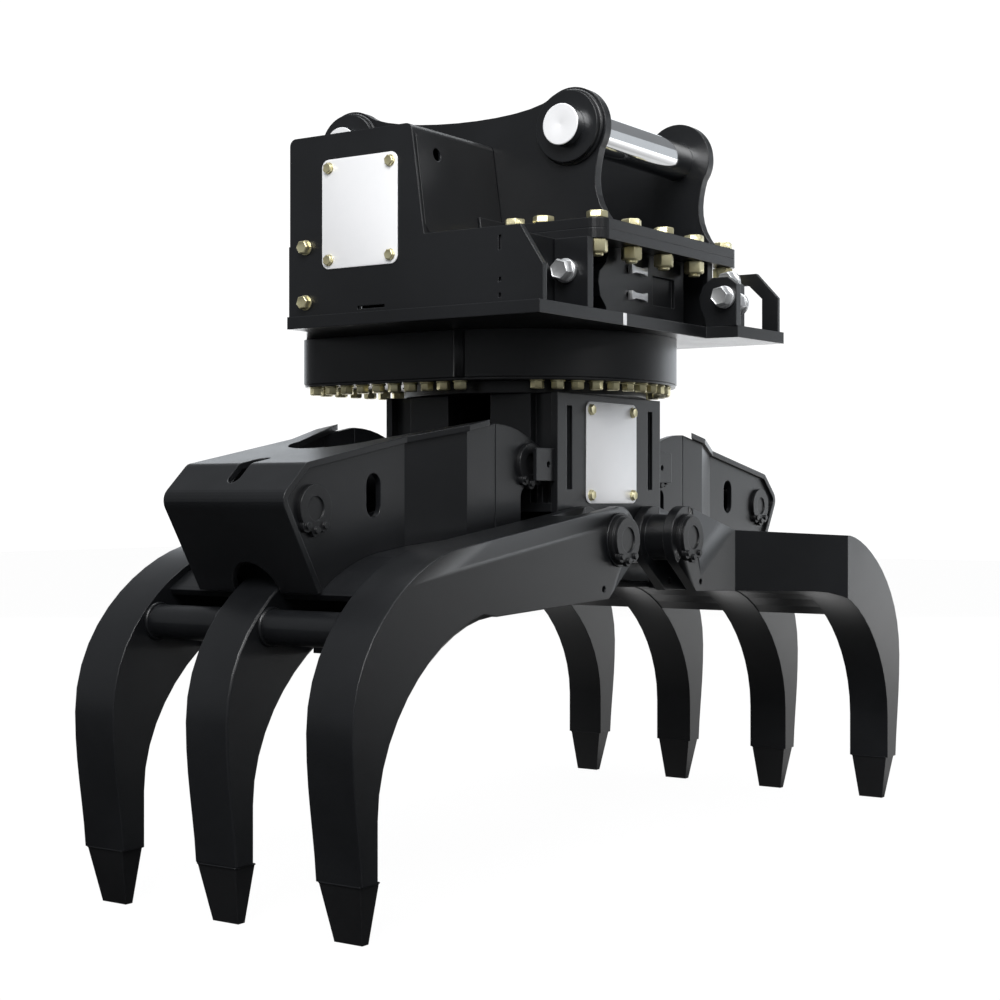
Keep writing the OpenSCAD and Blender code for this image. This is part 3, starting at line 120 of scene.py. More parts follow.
class Sheet:
    """The node tree of a material or of the surroundings."""

    BEVEL_SAMPLES = 6
    EDGE_LEAN = (0.004, 0.12)

    def __init__(self, owner: bpy.types.Material | bpy.types.World, kind: str = "Material") -> None:
        """Empties the owner's tree but for an output node.

        Args:
            owner: the material or the surroundings.
            kind: the output's kind.
        """
        self.owner = owner
        owner.use_nodes = True
        self.tree = owner.node_tree
        self.tree.nodes.clear()
        self.output = self.tree.nodes.new(f"ShaderNodeOutput{kind}")

    def node(self, kind: str, settings: dict | None = None, inputs: dict | None = None,
             out: int | str = 0) -> Wire:
        """Adds a node.

        Args:
            kind: the node's type.
            settings: its properties.
            inputs: a value or a link for each socket, by name or number.
            out: the output that is returned.

        Returns:
            The chosen output.
        """
        made = self.tree.nodes.new(kind)
        for key, value in (settings or {}).items():
            setattr(made, key, value)
        for key, value in (inputs or {}).items():
            if isinstance(value, Wire):
                self.tree.links.new(value.socket, made.inputs[key])
            else:
                made.inputs[key].default_value = value
        return Wire(self, made.outputs[out])

    def place(self, stretch: Triple = (1.0, 1.0, 1.0)) -> Wire:
        """Gives Object coordinates, stretched by a factor along each axis."""
        spot = self.node("ShaderNodeTexCoord", out="Object")
        return self.node("ShaderNodeMapping", None, {"Vector": spot, "Scale": stretch})

    def noise(self, spot: Wire, scale: float, detail: float, rough: float) -> Wire:
        """Gives a noise pattern's value.

        Args:
            spot: the coordinates.
            scale: grains in a metre.
            detail: layers of finer noise.
            rough: weight of the finer layers.

        Returns:
            The value between 0 and 1.
        """
        values = {"Vector": spot, "Scale": scale, "Detail": detail, "Roughness": rough}
        return self.node("ShaderNodeTexNoise", None, values)

    def blend(self, share: Wire | float, first: Wire | Colour, second: Wire | Colour) -> Wire:
        """Mixes two colours.

        Args:
            share: how much of the second colour.
            first: the first colour.
            second: the second colour.

        Returns:
            The mixed colour.
        """
        full = [c if isinstance(c, Wire) else (*c, 1.0) for c in (first, second)]
        return self.node("ShaderNodeMix", {"data_type": "RGBA"}, {0: share, 6: full[0], 7: full[1]}, 2)

    def edges(self, width: float) -> tuple[Wire, Wire]:
        """Rounds the look of sharp edges.

        Args:
            width: radius of the rounding in metres.

        Returns:
            The rounded normal, and a mask that is 1 on the edges.
        """
        soft = self.node("ShaderNodeBevel", {"samples": self.BEVEL_SAMPLES}, {"Radius": width})
        true = self.node("ShaderNodeNewGeometry", out="Normal")
        along = self.node("ShaderNodeVectorMath", {"operation": "DOT_PRODUCT"}, {0: soft, 1: true}, "Value")
        return soft, (1.0 - along).ramp(*self.EDGE_LEAN)

    def end(self, shader: Wire) -> None:
        """Joins a shader to the output node."""
        self.tree.links.new(shader.socket, self.output.inputs["Surface"])

    def finish(self, fixed: dict[str, float], colour: Wire, rough: Wire, height: Wire, depth: float,
               normal: Wire) -> bpy.types.Material:
        """Ends the sheet with its shader.

        Args:
            fixed: constant values of the shader's own sockets.
            colour: colour of the surface.
            rough: its roughness, not yet held between 0 and 1.
            height: relief of the surface.
            depth: depth of the relief in metres.
            normal: normal under the relief.

        Returns:
            The material.
        """
        varying = {"Base Color": colour, "Roughness": rough.held()}
        relief = {"Strength": 1.0, "Distance": depth, "Height": height, "Normal": normal}
        bump = self.node("ShaderNodeBump", None, relief)
        self.end(self.node("ShaderNodeBsdfPrincipled", None, {**fixed, **varying, "Normal": bump}))
        return self.owner


@dataclass(frozen=True)
class Paint:
    """Satin powder coat over welded plate, a little lighter along its edges, and lighter on top from faint
    dust and a painted sheen.
    """

    name: str
    colour: Colour = (0.0046, 0.0050, 0.0058)
    cloud: Colour = (0.0076, 0.0082, 0.0094)
    edge_colour: Colour = (0.026, 0.028, 0.032)
    # Colour of the dust specks, and of the painted sheen on upward faces.
    dust_and_sheen_colour: Colour = (0.017, 0.018, 0.020)
    roughness: float = 0.31
    edge: float = 0.003
    peel: float = 0.00018
    cloud_grains: float = 2.3
    patch_grains: float = 11.0
    speck_grains: float = 190.0
    peel_grains: float = 520.0
    wear: float = 0.55
    # Weight of the lighter top: partly dust, partly a painted reflection of the bright surroundings.
    top_dust_and_sheen: float = 0.45
    specks: float = 0.18

    def make(self) -> bpy.types.Material:
        """Builds the material.

        Returns:
            The material.
        """
        s = Sheet(bpy.data.materials.new(self.name))
        spot = s.place()
        cloud = s.noise(spot, self.cloud_grains, 4.0, 0.55)
        patch = s.noise(spot, self.patch_grains, 5.0, 0.6)
        grain = s.noise(spot, self.peel_grains, 2.0, 0.5)
        speck = s.noise(spot, self.speck_grains, 1.0, 0.5).ramp(0.70, 0.78)
        soft, rim = s.edges(self.edge)
        up = s.node("ShaderNodeSeparateXYZ", None, {0: s.node("ShaderNodeTexCoord", out="Normal")}, 2)
        colour = s.blend(cloud.ramp(0.35, 0.68), self.colour, self.cloud)
        # Upward faces lighten towards the dust and sheen colour: partly dust, partly a painted reflection.
        colour = s.blend(up.ramp(0.55, 1.0) * patch.ramp(0.35, 0.75) * self.top_dust_and_sheen, colour, self.dust_and_sheen_colour)
        colour = s.blend((rim * (0.35 + 0.75 * patch)).held() * self.wear, colour, self.edge_colour)
        colour = s.blend(speck * self.specks, colour, self.dust_and_sheen_colour)
        rough = self.roughness + 0.10 * (cloud - 0.5) + 0.07 * (patch - 0.5) + 0.04 * (grain - 0.5)
        fixed = {"Metallic": 0.0, "Specular IOR Level": 0.5, "IOR": 1.5}
        return s.finish(fixed, colour, rough, grain + 0.6 * patch, self.peel, soft)


@dataclass(frozen=True)
class Metal:
    """Bare or plated metal with faint stains and fine scratches."""

    name: str
    colour: Colour
    stain: Colour
    roughness: float
    metallic: float = 1.0
    stretch: Triple = (1.0, 1.0, 1.0)
    grain: float = 300.0
    edge: float = 0.001
    relief: float = 0.00006
    spread: float = 0.5
    blot_grains: float = 26.0
    edge_shine: float = 0.25

    def make(self) -> bpy.types.Material:
        """Builds the material.

        Returns:
            The material.
        """
        s = Sheet(bpy.data.materials.new(self.name))
        spot = s.place()
        blot = s.noise(spot, self.blot_grains, 4.0, 0.6)
        scratch = s.noise(s.place(self.stretch), self.grain, 3.0, 0.6)
        soft, rim = s.edges(self.edge)
        colour = s.blend(blot.ramp(0.38, 0.72) * self.spread, self.colour, self.stain)
        colour = s.blend(rim * self.edge_shine, colour, self.colour)
        rough = self.roughness + 0.10 * (scratch - 0.5) + 0.12 * (blot - 0.5)
        return s.finish({"Metallic": self.metallic}, colour, rough, scratch, self.relief, soft)


class Finish(Enum):
    """The record's material slots, each with its finish."""

    BLACK = ("black_paint", Paint("Satin black coat"))
    DARK = ("dark_steel", Paint("Black coated forging", (0.0050, 0.0052, 0.0058), (0.0080, 0.0083, 0.0092),
                                roughness=0.38, edge=0.0022, peel=0.00030))
    CHROME = ("hard_chrome", Metal("Hard chrome", (0.83, 0.84, 0.85), (0.74, 0.75, 0.76), 0.07,
                                   stretch=(1.0, 9.0, 9.0), grain=90.0, relief=0.00001, spread=0.3))
    GEAR = ("gear_steel", Metal("Greased gear steel", (0.34, 0.34, 0.33), (0.12, 0.11, 0.09), 0.34))
    YELLOW = ("yellow_zinc", Metal("Yellow zinc plate", (0.76, 0.71, 0.45), (0.56, 0.47, 0.24), 0.32, 0.85,
                                   spread=0.6))
    STAINLESS = ("stainless", Metal("Brushed stainless", (0.93, 0.93, 0.94), (0.89, 0.90, 0.91), 0.42, 0.25,
                                    stretch=(4.0, 4.0, 260.0), grain=3.0, relief=0.00003, spread=0.3))
    CLEAR = ("bright_zinc", Metal("Clear zinc plate", (0.70, 0.71, 0.72), (0.52, 0.53, 0.54), 0.34, 0.8))

    @property
    def slot(self) -> str:
        """Name of the record's slot."""
        return self.value[0]


class Palette:
    """Gives pieces their finishes."""

    @cache
    def get(self, finish: Finish) -> bpy.types.Material:
        """Gives the material of a finish, which is made once."""
        return finish.value[1].make()

    def dress(self, piece: Piece, finish: Finish) -> None:
        """Gives a new piece its finish.

        Args:
            piece: the piece.
            finish: its finish.
        """
        piece.data.materials.clear()
        piece.data.materials.append(self.get(finish))

    def dress_frame(self) -> None:
        """Gives every CAD node the finish of its slot."""
        by_slot = {finish.slot: finish for finish in Finish}
        for part in FRAME["record"]["subparts"]:
            piece = FRAME["nodes"][part["node"]]
            for slot in piece.material_slots:
                slot.material = self.get(by_slot[part["material_slot"]])


class Bench:
    """Blender's own operators, wrapped for one piece at a time."""

    @staticmethod
    def clear() -> None:
        """Leaves edit mode and deselects everything."""
        if bpy.context.mode != "OBJECT":
            bpy.ops.object.mode_set(mode="OBJECT")
        bpy.ops.object.select_all(action="DESELECT")

    @staticmethod
    def take(piece: Piece) -> None:
        """Makes a piece the only selected one.

        Args:
            piece: the piece.
        """
        Bench.clear()
        piece.select_set(True)
        bpy.context.view_layer.objects.active = piece

    @staticmethod
    def edit(piece: Piece, mode: str = "FACE") -> None:
        """Opens a piece in edit mode with nothing selected.

        Args:
            piece: the piece.
            mode: VERT, EDGE or FACE.
        """
        Bench.take(piece)
        bpy.ops.object.mode_set(mode="EDIT")
        bpy.ops.mesh.select_mode(type=mode)
        bpy.ops.mesh.select_all(action="DESELECT")

    @staticmethod
    def pick(piece: Piece, kind: str, test: Callable[[object], bool]) -> int:
        """Selects in edit mode what passes a test.

        Args:
            piece: the piece in edit mode.
            kind: verts, edges or faces.
            test: says whether an element is wanted.

        Returns:
            How many are selected.
        """
        mesh = bmesh.from_edit_mesh(piece.data)
        mesh.normal_update()
        wanted = [element for element in getattr(mesh, kind) if test(element)]
        for element in wanted:
            element.select = True
        mesh.select_flush_mode()
        bmesh.update_edit_mesh(piece.data)
        return len(wanted)

    @staticmethod
    def named(name: str) -> Piece:
        """Names the piece that was just added and brings its object to the origin, unturned and unscaled.

        Args:
            name: its name.

        Returns:
            The piece.
        """
        piece = bpy.context.view_layer.objects.active
        piece.name = piece.data.name = name
        Bench.take(piece)
        bpy.ops.object.transform_apply(location=True, rotation=True, scale=True)
        return piece

    @staticmethod
    def rod(name: str, radius: float, length: float, middle: Vector, sides: int) -> Piece:
        """Adds an upright prism, to be shaped.

        Args:
            name: its name.
            radius: distance from its middle to its corners.
            length: its height.
            middle: where its middle is.
            sides: how many sides it has.

        Returns:
            The prism.
        """
        Bench.clear()
        bpy.ops.mesh.primitive_cylinder_add(vertices=sides, radius=radius, depth=length, location=middle)
        return Bench.named(name)

    @staticmethod
    def block(name: str, low: Vector, high: Vector) -> Piece:
        """Adds a block, to be shaped.

        Args:
            name: its name.
            low: its lowest corner.
            high: its highest corner.

        Returns:
            The block.
        """
        Bench.clear()
        bpy.ops.mesh.primitive_cube_add(size=1.0, location=(low + high) / 2)
        bpy.context.view_layer.objects.active.scale = high - low
        return Bench.named(name)

    @staticmethod
    def apply(piece: Piece, kind: str, **settings: object) -> None:
        """Adds a modifier to a piece and applies it.

        Args:
            piece: the piece.
            kind: the modifier's type.
            **settings: its properties.
        """
        Bench.take(piece)
        made = piece.modifiers.new(kind.title(), kind)
        for key, value in settings.items():
            setattr(made, key, value)
        bpy.ops.object.modifier_apply(modifier=made.name)

    @staticmethod
    def smooth(piece: Piece, degrees: float) -> None:
        """Shades a piece smooth up to an angle."""
        Bench.take(piece)
        bpy.ops.object.shade_smooth_by_angle(angle=math.radians(degrees))

    @staticmethod
    def soften(piece: Piece, width: float, segments: int, degrees: float) -> None:
        """Rounds a piece's sharp edges by a bevel.

        Args:
            piece: the piece.
            width: width of the bevel.
            segments: its strips.
            degrees: angle from which an edge is sharp.
        """
        Bench.apply(piece, "BEVEL", width=width, segments=segments, limit_method="ANGLE",
                    angle_limit=math.radians(degrees), harden_normals=False, miter_outer="MITER_ARC")
        Bench.smooth(piece, degrees)

    @staticmethod
    def place(master: Piece, name: str, spot: Vector, facing: Vector = Vector((0, 0, 1)),
              turn: float = 0.0) -> Piece:
        """Sets a copy of a piece, with its own mesh, at a spot.

        Args:
            master: the piece, modelled at the origin and facing up.
            name: the copy's name.
            spot: where its origin goes.
            facing: where its top points.
            turn: turn about its own axis, in radians.

        Returns:
            The copy.
        """
        copy = master.copy()
        copy.data = master.data.copy()
        copy.name = copy.data.name = name
        bpy.context.scene.collection.objects.link(copy)
        way = Vector((0, 0, 1)).rotation_difference(facing).to_matrix().to_4x4()
        copy.data.transform(Matrix.Translation(spot) @ way @ Matrix.Rotation(turn, 4, "Z"))
        return copy

    @staticmethod
    def drop(*masters: Piece) -> None:
        """Removes masters that have been copied."""
        for master in masters:
            bpy.data.objects.remove(master)


def solids(node: str) -> list[tuple[Vector, Vector]]:
    """Finds the separate solids of a CAD node.

    Args:
        node: the node's name.

    Returns:
        The lowest and highest corner of each solid.
    """
    mesh = bmesh.new()
    mesh.from_mesh(FRAME["nodes"][node].data)
    bmesh.ops.remove_doubles(mesh, verts=mesh.verts, dist=MERGE)
    mesh.verts.ensure_lookup_table()
    seen, found = set(), []
    for start in mesh.verts:
        if start in seen:
            continue
        seen.add(start)
        heap, group = [start], []
        while heap:
            vertex = heap.pop()
            group.append(vertex.co.copy())
            for edge in vertex.link_edges:
                other = edge.other_vert(vertex)
                if other not in seen:
                    seen.add(other)
                    heap.append(other)
        low = Vector(min(p[i] for p in group) for i in range(3))
        high = Vector(max(p[i] for p in group) for i in range(3))
        found.append((low, high))
    mesh.free()
    return sorted(found, key=lambda pair: tuple(round(v, 4) for v in pair[0]))


@dataclass
class Group:
    """What every sub-assembly shares: the finishes, and the pieces that it has made."""

    palette: Palette
    made: list[Piece] = field(default_factory=list, init=False)

    def keep(self, piece: Piece, finish: Finish, body: str, node: str | None = None) -> None:
        """Dresses a piece, lets it ride on a body and stand for a CAD node.

        Args:
            piece: the piece.
            finish: its finish.
            body: the body that it rides on.
            node: the CAD node that it stands for, if any.
        """
        self.palette.dress(piece, finish)
        if node:
            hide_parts(node)
        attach(piece, body)
        self.made.append(piece)


@dataclass
class Tines(Group):
    """The forged tines of one claw: the left claw's palm edges and the right claw's back edges are broken."""

    side: str
    nodes: tuple[str, ...]
    # Edges are broken above tip_z: on the left claw beyond palm_x, on the right one below back_top.
    # The face next to the side face leans by facing towards +X, or on the left claw by under downwards.
    tip_z: float = 0.114
    chamfer: float = 0.012
    round: float = 0.003
    crease: float = 24.0
    round_degrees: float = 40.0
    weight: int = 60
    back_top: float = 0.70
    palm_x: float = 0.44
    plane_degrees: float = 0.4
    facing: float = 0.25
    under: float = 0.5
    flatness: float = 0.8

    def build(self) -> list[Piece]:
        """Builds every tine of the claw.

        Returns:
            The tines.
        """
        for node in self.nodes:
            self.forge(node)
        return self.made

    def forge(self, node: str) -> None:
        """Reworks a copy of one CAD tine and puts it in the tine's place.

        Args:
            node: the CAD node.
        """
        piece = Bench.place(FRAME["nodes"][node], f"{node}_forged", Vector())
        piece.parent = None
        Bench.edit(piece, "EDGE")
        bpy.ops.mesh.select_all(action="SELECT")
        bpy.ops.mesh.remove_doubles(threshold=MERGE)
        bpy.ops.mesh.dissolve_limited(angle_limit=math.radians(self.plane_degrees))
        bpy.ops.mesh.select_all(action="DESELECT")

        def broken(edge: bmesh.types.BMEdge) -> bool:
            """Finds an edge between a side face and the palm, or the back on the right claw.

            Args:
                edge: the edge.

            Returns:
                Whether it is to be broken.
            """
            top = max(v.co.z for v in edge.verts)
            flat = [f for f in edge.link_faces if abs(f.normal.y) > self.flatness]
            across = [f for f in edge.link_faces if abs(f.normal.y) <= self.flatness]
            if top < self.tip_z or len(flat) != 1 or len(across) != 1:
                return False
            way = across[0].normal
            if self.side == "right":
                return way.x > self.facing and top < self.back_top
            turned = way.x > self.facing or way.z < -self.under
            return turned and max(v.co.x for v in edge.verts) < -self.palm_x

        count = Bench.pick(piece, "edges", broken)
        bpy.ops.mesh.bevel(offset=self.chamfer, offset_type="OFFSET", segments=1, affect="EDGES",
                           clamp_overlap=True)
        Bench.soften(piece, self.round, 1, self.round_degrees)
        Bench.smooth(piece, self.crease)
        Bench.apply(piece, "WEIGHTED_NORMAL", keep_sharp=True, weight=self.weight)
        self.keep(piece, Finish.BLACK, f"{self.side}_claw", node)
        LOG.info("%s: %d edges broken", piece.name, count)


@dataclass(frozen=True)
class HexPart:
    """A hexagon head, nut or cap with its washer face and chamfer, facing up from the origin."""

    flats: float
    height: float
    washer: float
    washer_t: float
    # Shares of the sizes above, apart from crease, which is in degrees.
    chamfer: float = 0.16
    crown: float = 0.86
    dish: float = 0.10
    dish_depth: float = 0.25
    rim: float = 0.08
    rim_depth: float = 0.12
    rounding: float = 0.018
    crease: float = 28.0

    @property
    def tall(self) -> float:
        """Height of the part on its washer."""
        return self.height + self.washer_t

    def build(self, name: str) -> Piece:
        """Models the part once.

        Args:
            name: the part's name.

        Returns:
            The master piece.
        """
        corner = self.flats / math.sqrt(3)
        rise = self.height * self.chamfer
        straight = self.height - rise
        piece = Bench.rod(name, corner, straight, Vector((0, 0, self.washer_t + straight / 2)), 6)
        Bench.edit(piece)
        Bench.pick(piece, "faces", lambda f: f.normal.z > ALONG)
        bpy.ops.mesh.extrude_region_move(TRANSFORM_OT_translate={"value": (0, 0, rise)})
        bpy.ops.transform.resize(value=(self.crown, self.crown, 1.0))
        bpy.ops.mesh.inset(thickness=corner * self.dish, depth=-rise * self.dish_depth)
        bpy.ops.mesh.primitive_cylinder_add(vertices=32, radius=self.washer, depth=self.washer_t,
                                            location=(0, 0, self.washer_t / 2))
        bpy.ops.mesh.select_all(action="DESELECT")
        Bench.pick(piece, "faces", lambda f: f.normal.z > ALONG and len(f.verts) > 8
                   and abs(f.calc_center_median().z - self.washer_t) < NEAR)
        bpy.ops.mesh.inset(thickness=self.washer * self.rim, depth=self.washer_t * self.rim_depth)
        Bench.soften(piece, self.flats * self.rounding, 1, self.crease)
        return piece


@dataclass
class Fasteners(Group):
    """Every bolt head, nut and cap, set where the frame's plain ones are."""

    plate_head: HexPart = HexPart(0.041, 0.01564, 0.01927, 0.00136, 0.14)
    plate_nut: HexPart = HexPart(0.041, 0.0282, 0.01927, 0.0018, 0.12)
    plate_screw: HexPart = HexPart(0.021, 0.0070, 0.0128, 0.0012, 0.2)
    cover_bolt: HexPart = HexPart(0.027, 0.0140, 0.0167, 0.0030)
    port_cap: HexPart = HexPart(0.042, 0.026, 0.026, 0.008, 0.22)
    shank: float = 0.0135
    end_long: float = 0.020
    end_chamfer: float = 0.0018
    end_narrow: float = 0.88
    end_rise: float = 0.0218
    sheets: float = 0.044
    screw_deep: float = 0.010
    cap_wide: float = 0.035
    clip_long: float = 0.070
    clip_thick: float = 0.012
    clip_high: float = 0.022
    clip_x: float = -0.071
    clip_sink: float = 0.006
    clip_waist: float = 0.62
    clip_round: float = 0.0012
    ring_flats: float = 0.027
    ring_washer: float = 0.62
    ring_washer_t: float = 0.16
    # Turns in radians. In a row they grow with the fastener's number.
    ring_turn: float = 0.5
    plate_turn: float = 0.37
    nut_turn: float = 0.4
    screw_turn: tuple[float, float] = (0.3, 0.9)
    cap_turn: tuple[float, float] = (0.26, 0.5)

    def put(self, master: Piece, name: str, spot: Vector, facing: Vector, turn: float,
            node: str, body: str, finish: Finish) -> None:
        """Sets one copy in place of a plain fastener.

        Args:
            master: the modelled fastener.
            name: the copy's name.
            spot: where it sits.
            facing: where it points.
            turn: turn about its own axis.
            node: the CAD node that it stands for.
            body: the body that it rides on.
            finish: its finish.
        """
        self.keep(Bench.place(master, name, spot, facing, turn), finish, body, node)

    def housing(self) -> None:
        """Sets the ring of bolts under the slew housing."""
        spots = solids("housing_bolts")
        low, high = spots[0]
        tall = high.z - low.z
        flats, washer_t = self.ring_flats, tall * self.ring_washer_t
        master = HexPart(flats, tall - washer_t, flats * self.ring_washer, washer_t).build("housing_bolt")
        for i, (low, high) in enumerate(spots, 1):
            spot = Vector(((low.x + high.x) / 2, (low.y + high.y) / 2, high.z))
            self.put(master, f"housing_bolt_{i:02d}", spot, Vector((0, 0, -1)), self.ring_turn * i * i,
                     "housing_bolts", "head", Finish.YELLOW)
        Bench.drop(master)

    def plates(self) -> None:
        """Sets the bolts through the two plates, each with its head, nut and chamfered end."""
        head = self.plate_head.build("plate_bolt_head")
        nut = self.plate_nut.build("plate_bolt_nut")
        end = Bench.rod("plate_bolt_end", self.shank, self.end_long, Vector((0, 0, self.end_long / 2)), 24)
        Bench.edit(end)
        Bench.pick(end, "faces", lambda f: f.normal.z > ALONG)
        bpy.ops.mesh.extrude_region_move(TRANSFORM_OT_translate={"value": (0, 0, self.end_chamfer)})
        bpy.ops.transform.resize(value=(self.end_narrow, self.end_narrow, 1.0))
        Bench.smooth(end, 30.0)
        for i, (low, high) in enumerate(solids("plate_bolts"), 1):
            x, y = (low.x + high.x) / 2, (low.y + high.y) / 2
            seat, turn = high.z - self.plate_head.tall, self.plate_turn * i * i
            for word, master, z, way, angle in (
                    ("head", head, seat, 1.0, turn),
                    ("nut", nut, seat - self.sheets, -1.0, turn + self.nut_turn),
                    ("end", end, low.z + self.end_rise, -1.0, 0.0)):
                self.put(master, f"plate_bolt_{word}_{i:02d}", Vector((x, y, z)), Vector((0, 0, way)), angle,
                         "plate_bolts", "head", Finish.YELLOW)
        Bench.drop(head, nut, end)

    def screws(self) -> None:
        """Sets the nameplates' screws and the cover's two side bolts."""
        small = self.plate_screw.build("plate_screw")
        big = self.cover_bolt.build("cover_bolt")
        first, step = self.screw_turn
        for node, body, facing in (("cover_screws", "head", Vector((-1, 0, 0))),
                                   ("frame_screws", "rotor", Vector((0, -1, 0)))):
            for i, (low, high) in enumerate(solids(node), 1):
                deep = abs((high - low).dot(facing))
                spot = (low + high) / 2 - facing * deep / 2
                master = big if deep > self.screw_deep else small
                self.put(master, f"{node}_{i:02d}", spot, facing, first + step * i, node, body, Finish.YELLOW)
        Bench.drop(small, big)

    def caps(self) -> None:
        """Sets the hydraulic ports' hexagonal caps."""
        master = self.port_cap.build("port_cap")
        first, step = self.cap_turn
        count = fittings = 0
        for low, high in solids("port_caps"):
            if high.x - low.x > self.cap_wide:
                fittings += 1
                self.fitting(low, high, fittings)
            elif high.z - low.z > self.cap_wide:
                count += 1
                spot = Vector((high.x, (low.y + high.y) / 2, (low.z + high.z) / 2))
                self.put(master, f"port_cap_{count}", spot, Vector((-1, 0, 0)), first + step * count,
                         "port_caps", "head", Finish.CLEAR)
        Bench.drop(master)

    def fitting(self, low: Vector, high: Vector, index: int) -> None:
        """Sets one small grease fitting: a waisted bar lying on the near web.

        Args:
            low: lowest corner of the plain one.
            high: highest corner.
            index: number for its name.
        """
        size = Vector((self.clip_long, self.clip_thick, self.clip_high))
        middle = Vector((self.clip_x, low.y - self.clip_thick / 2 + self.clip_sink, (low.z + high.z) / 2))
        piece = Bench.block(f"web_fitting_{index}", middle - size / 2, middle + size / 2)
        Bench.edit(piece, "EDGE")
        Bench.pick(piece, "edges", lambda e: abs(e.verts[0].co.x - e.verts[1].co.x) > size.x * 0.5)
        bpy.ops.mesh.subdivide(number_cuts=3)
        bpy.ops.mesh.select_all(action="DESELECT")
        Bench.pick(piece, "verts", lambda v: abs(v.co.x - middle.x) < size.x * 0.3)
        bpy.ops.transform.resize(value=(1.0, 1.0, self.clip_waist), center_override=middle)
        Bench.soften(piece, self.clip_round, 2, 30.0)
        self.keep(piece, Finish.CLEAR, "head", "port_caps")

    def build(self) -> list[Piece]:
        """Builds every fastener.

        Returns:
            The fasteners.
        """
        self.housing()
        self.plates()
        self.screws()
        self.caps()
        return self.made


@dataclass
class Welds(Group):
    """Rippled weld beads along the joints of the plates."""

    tube: float = 0.034
    tube_bead: float = 0.0055
    collar: float = 0.078
    bead: float = 0.006
    tip_bead: float = 0.0019
    pitch: float = 0.55
    crease: float = 60.0
    ripple: float = 0.16
    narrow: float = 0.82
    # How far a bead's axis stands off its plates, as a share of its radius.
    stand: float = 0.35
    ring_stand: float = 0.4
    boss: float = 0.020
    ear_foot: float = 0.044
    ear_ends: tuple[float, float] = (-0.372, 0.385)
    web_y: float = 0.345
    near_web_x: tuple[float, float] = (-0.190, 0.150)
    far_web_x: tuple[float, float] = (-0.205, 0.205)
    side_web_x: float = 0.231
    side_web_y: tuple[float, float] = (-0.370, 0.340)
    tip_deep: float = 0.0555
    tip_proud: float = 0.0004

    def ring(self, name: str, major: float, minor: float, ripples: int) -> Piece:
        """Models a round bead about Z.

        Args:
            name: the bead's name.
            major: radius of the joint.
            minor: radius of the bead.
            ripples: scales round the bead.

        Returns:
            The master bead.
        """
        Bench.clear()
        bpy.ops.mesh.primitive_torus_add(major_segments=2 * ripples, minor_segments=8,
                                         major_radius=major, minor_radius=minor)
        piece = Bench.named(name)
        Bench.edit(piece, "VERT")
        step = math.pi / ripples

        def scale(vertex: bmesh.types.BMVert) -> bool:
            """Tells the vertices on every second ring."""
            return round((math.atan2(vertex.co.y, vertex.co.x) % math.tau) / step) % 2 == 1

        Bench.pick(piece, "verts", scale)
        bpy.ops.transform.shrink_fatten(value=-minor * self.ripple)
        Bench.smooth(piece, self.crease)
        return piece

    def bar(self, name: str, length: float, radius: float) -> Piece:
        """Models a straight bead that runs up from the origin.

        Args:
            name: the bead's name.
            length: its length.
            radius: its radius.

        Returns:
            The bead.
        """
        count = max(4, int(length / (radius * self.pitch)) // 2 * 2)
        piece = Bench.rod(name, radius, length, Vector((0, 0, length / 2)), 8)
        Bench.edit(piece, "EDGE")
        Bench.pick(piece, "edges", lambda e: abs(e.verts[0].co.z - e.verts[1].co.z) > length * 0.5)
        bpy.ops.mesh.subdivide(number_cuts=count - 1)
        bpy.ops.mesh.select_all(action="DESELECT")
        bpy.ops.mesh.select_mode(type="VERT")
        step = length / count
        Bench.pick(piece, "verts", lambda v: round(v.co.z / step) % 2 == 1
                   or not NEAR < v.co.z < length - NEAR)
        bpy.ops.transform.resize(value=(self.narrow, self.narrow, 1.0), center_override=(0, 0, 0))
        Bench.smooth(piece, self.crease)
        return piece

    def line(self, name: str, start: Vector, end: Vector, radius: float, body: str) -> None:
        """Lays a straight bead.

        Args:
            name: the bead's name.
            start: one end.
            end: the other end.
            radius: its radius.
            body: the body that it rides on.
        """
        way = end - start
        master = self.bar(name, way.length, radius)
        piece = Bench.place(master, name, start, way.normalized())
        Bench.drop(master)
        piece.name = name
        self.keep(piece, Finish.BLACK, body)

    def tubes(self) -> None:
        """Lays a round bead at each end of the cross tubes."""
        master = self.ring("tube_weld", self.tube, self.tube_bead, 40)
        off = self.tube_bead * self.ring_stand
        for side in ("left", "right"):
            for i, (low, high) in enumerate(solids(f"{side}_cross_tube"), 1):
                for end, y in (("near", low.y + off), ("far", high.y - off)):
                    spot = Vector(((low.x + high.x) / 2, y, (low.z + high.z) / 2))
                    piece = Bench.place(master, f"{side}_tube_weld_{i}_{end}", spot, Vector((0, 1, 0)))
                    self.keep(piece, Finish.BLACK, f"{side}_claw")
        Bench.drop(master)

    def collars(self) -> None:
        """Lays a round bead where each collar meets its ear."""
        low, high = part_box("bracket_ears")
        master = self.ring("collar_weld", self.collar, self.bead, 70)
        reach = self.boss - self.bead * self.ring_stand
        for i, (first, last) in enumerate(solids("coupler_pins"), 1):
            middle = (first + last) / 2
            for side, x in (("left", low.x + reach), ("right", high.x - reach)):
                piece = Bench.place(master, f"collar_weld_{i}_{side}", Vector((x, middle.y, middle.z)),
                                    Vector((1, 0, 0)))
                self.keep(piece, Finish.BLACK, "head")
        Bench.drop(master)

    def ears(self) -> None:
        """Lays the beads along the feet of the two ears."""
        low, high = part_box("bracket_ears")
        off = self.bead * self.stand
        z = low.z + off
        for side, hand in (("left", -1.0), ("right", 1.0)):
            for row, x in (("outer", high.x - self.boss + off), ("inner", high.x - self.ear_foot - off)):
                start, end = (Vector((hand * x, y, z)) for y in self.ear_ends)
                self.line(f"ear_weld_{side}_{row}", start, end, self.bead, "head")

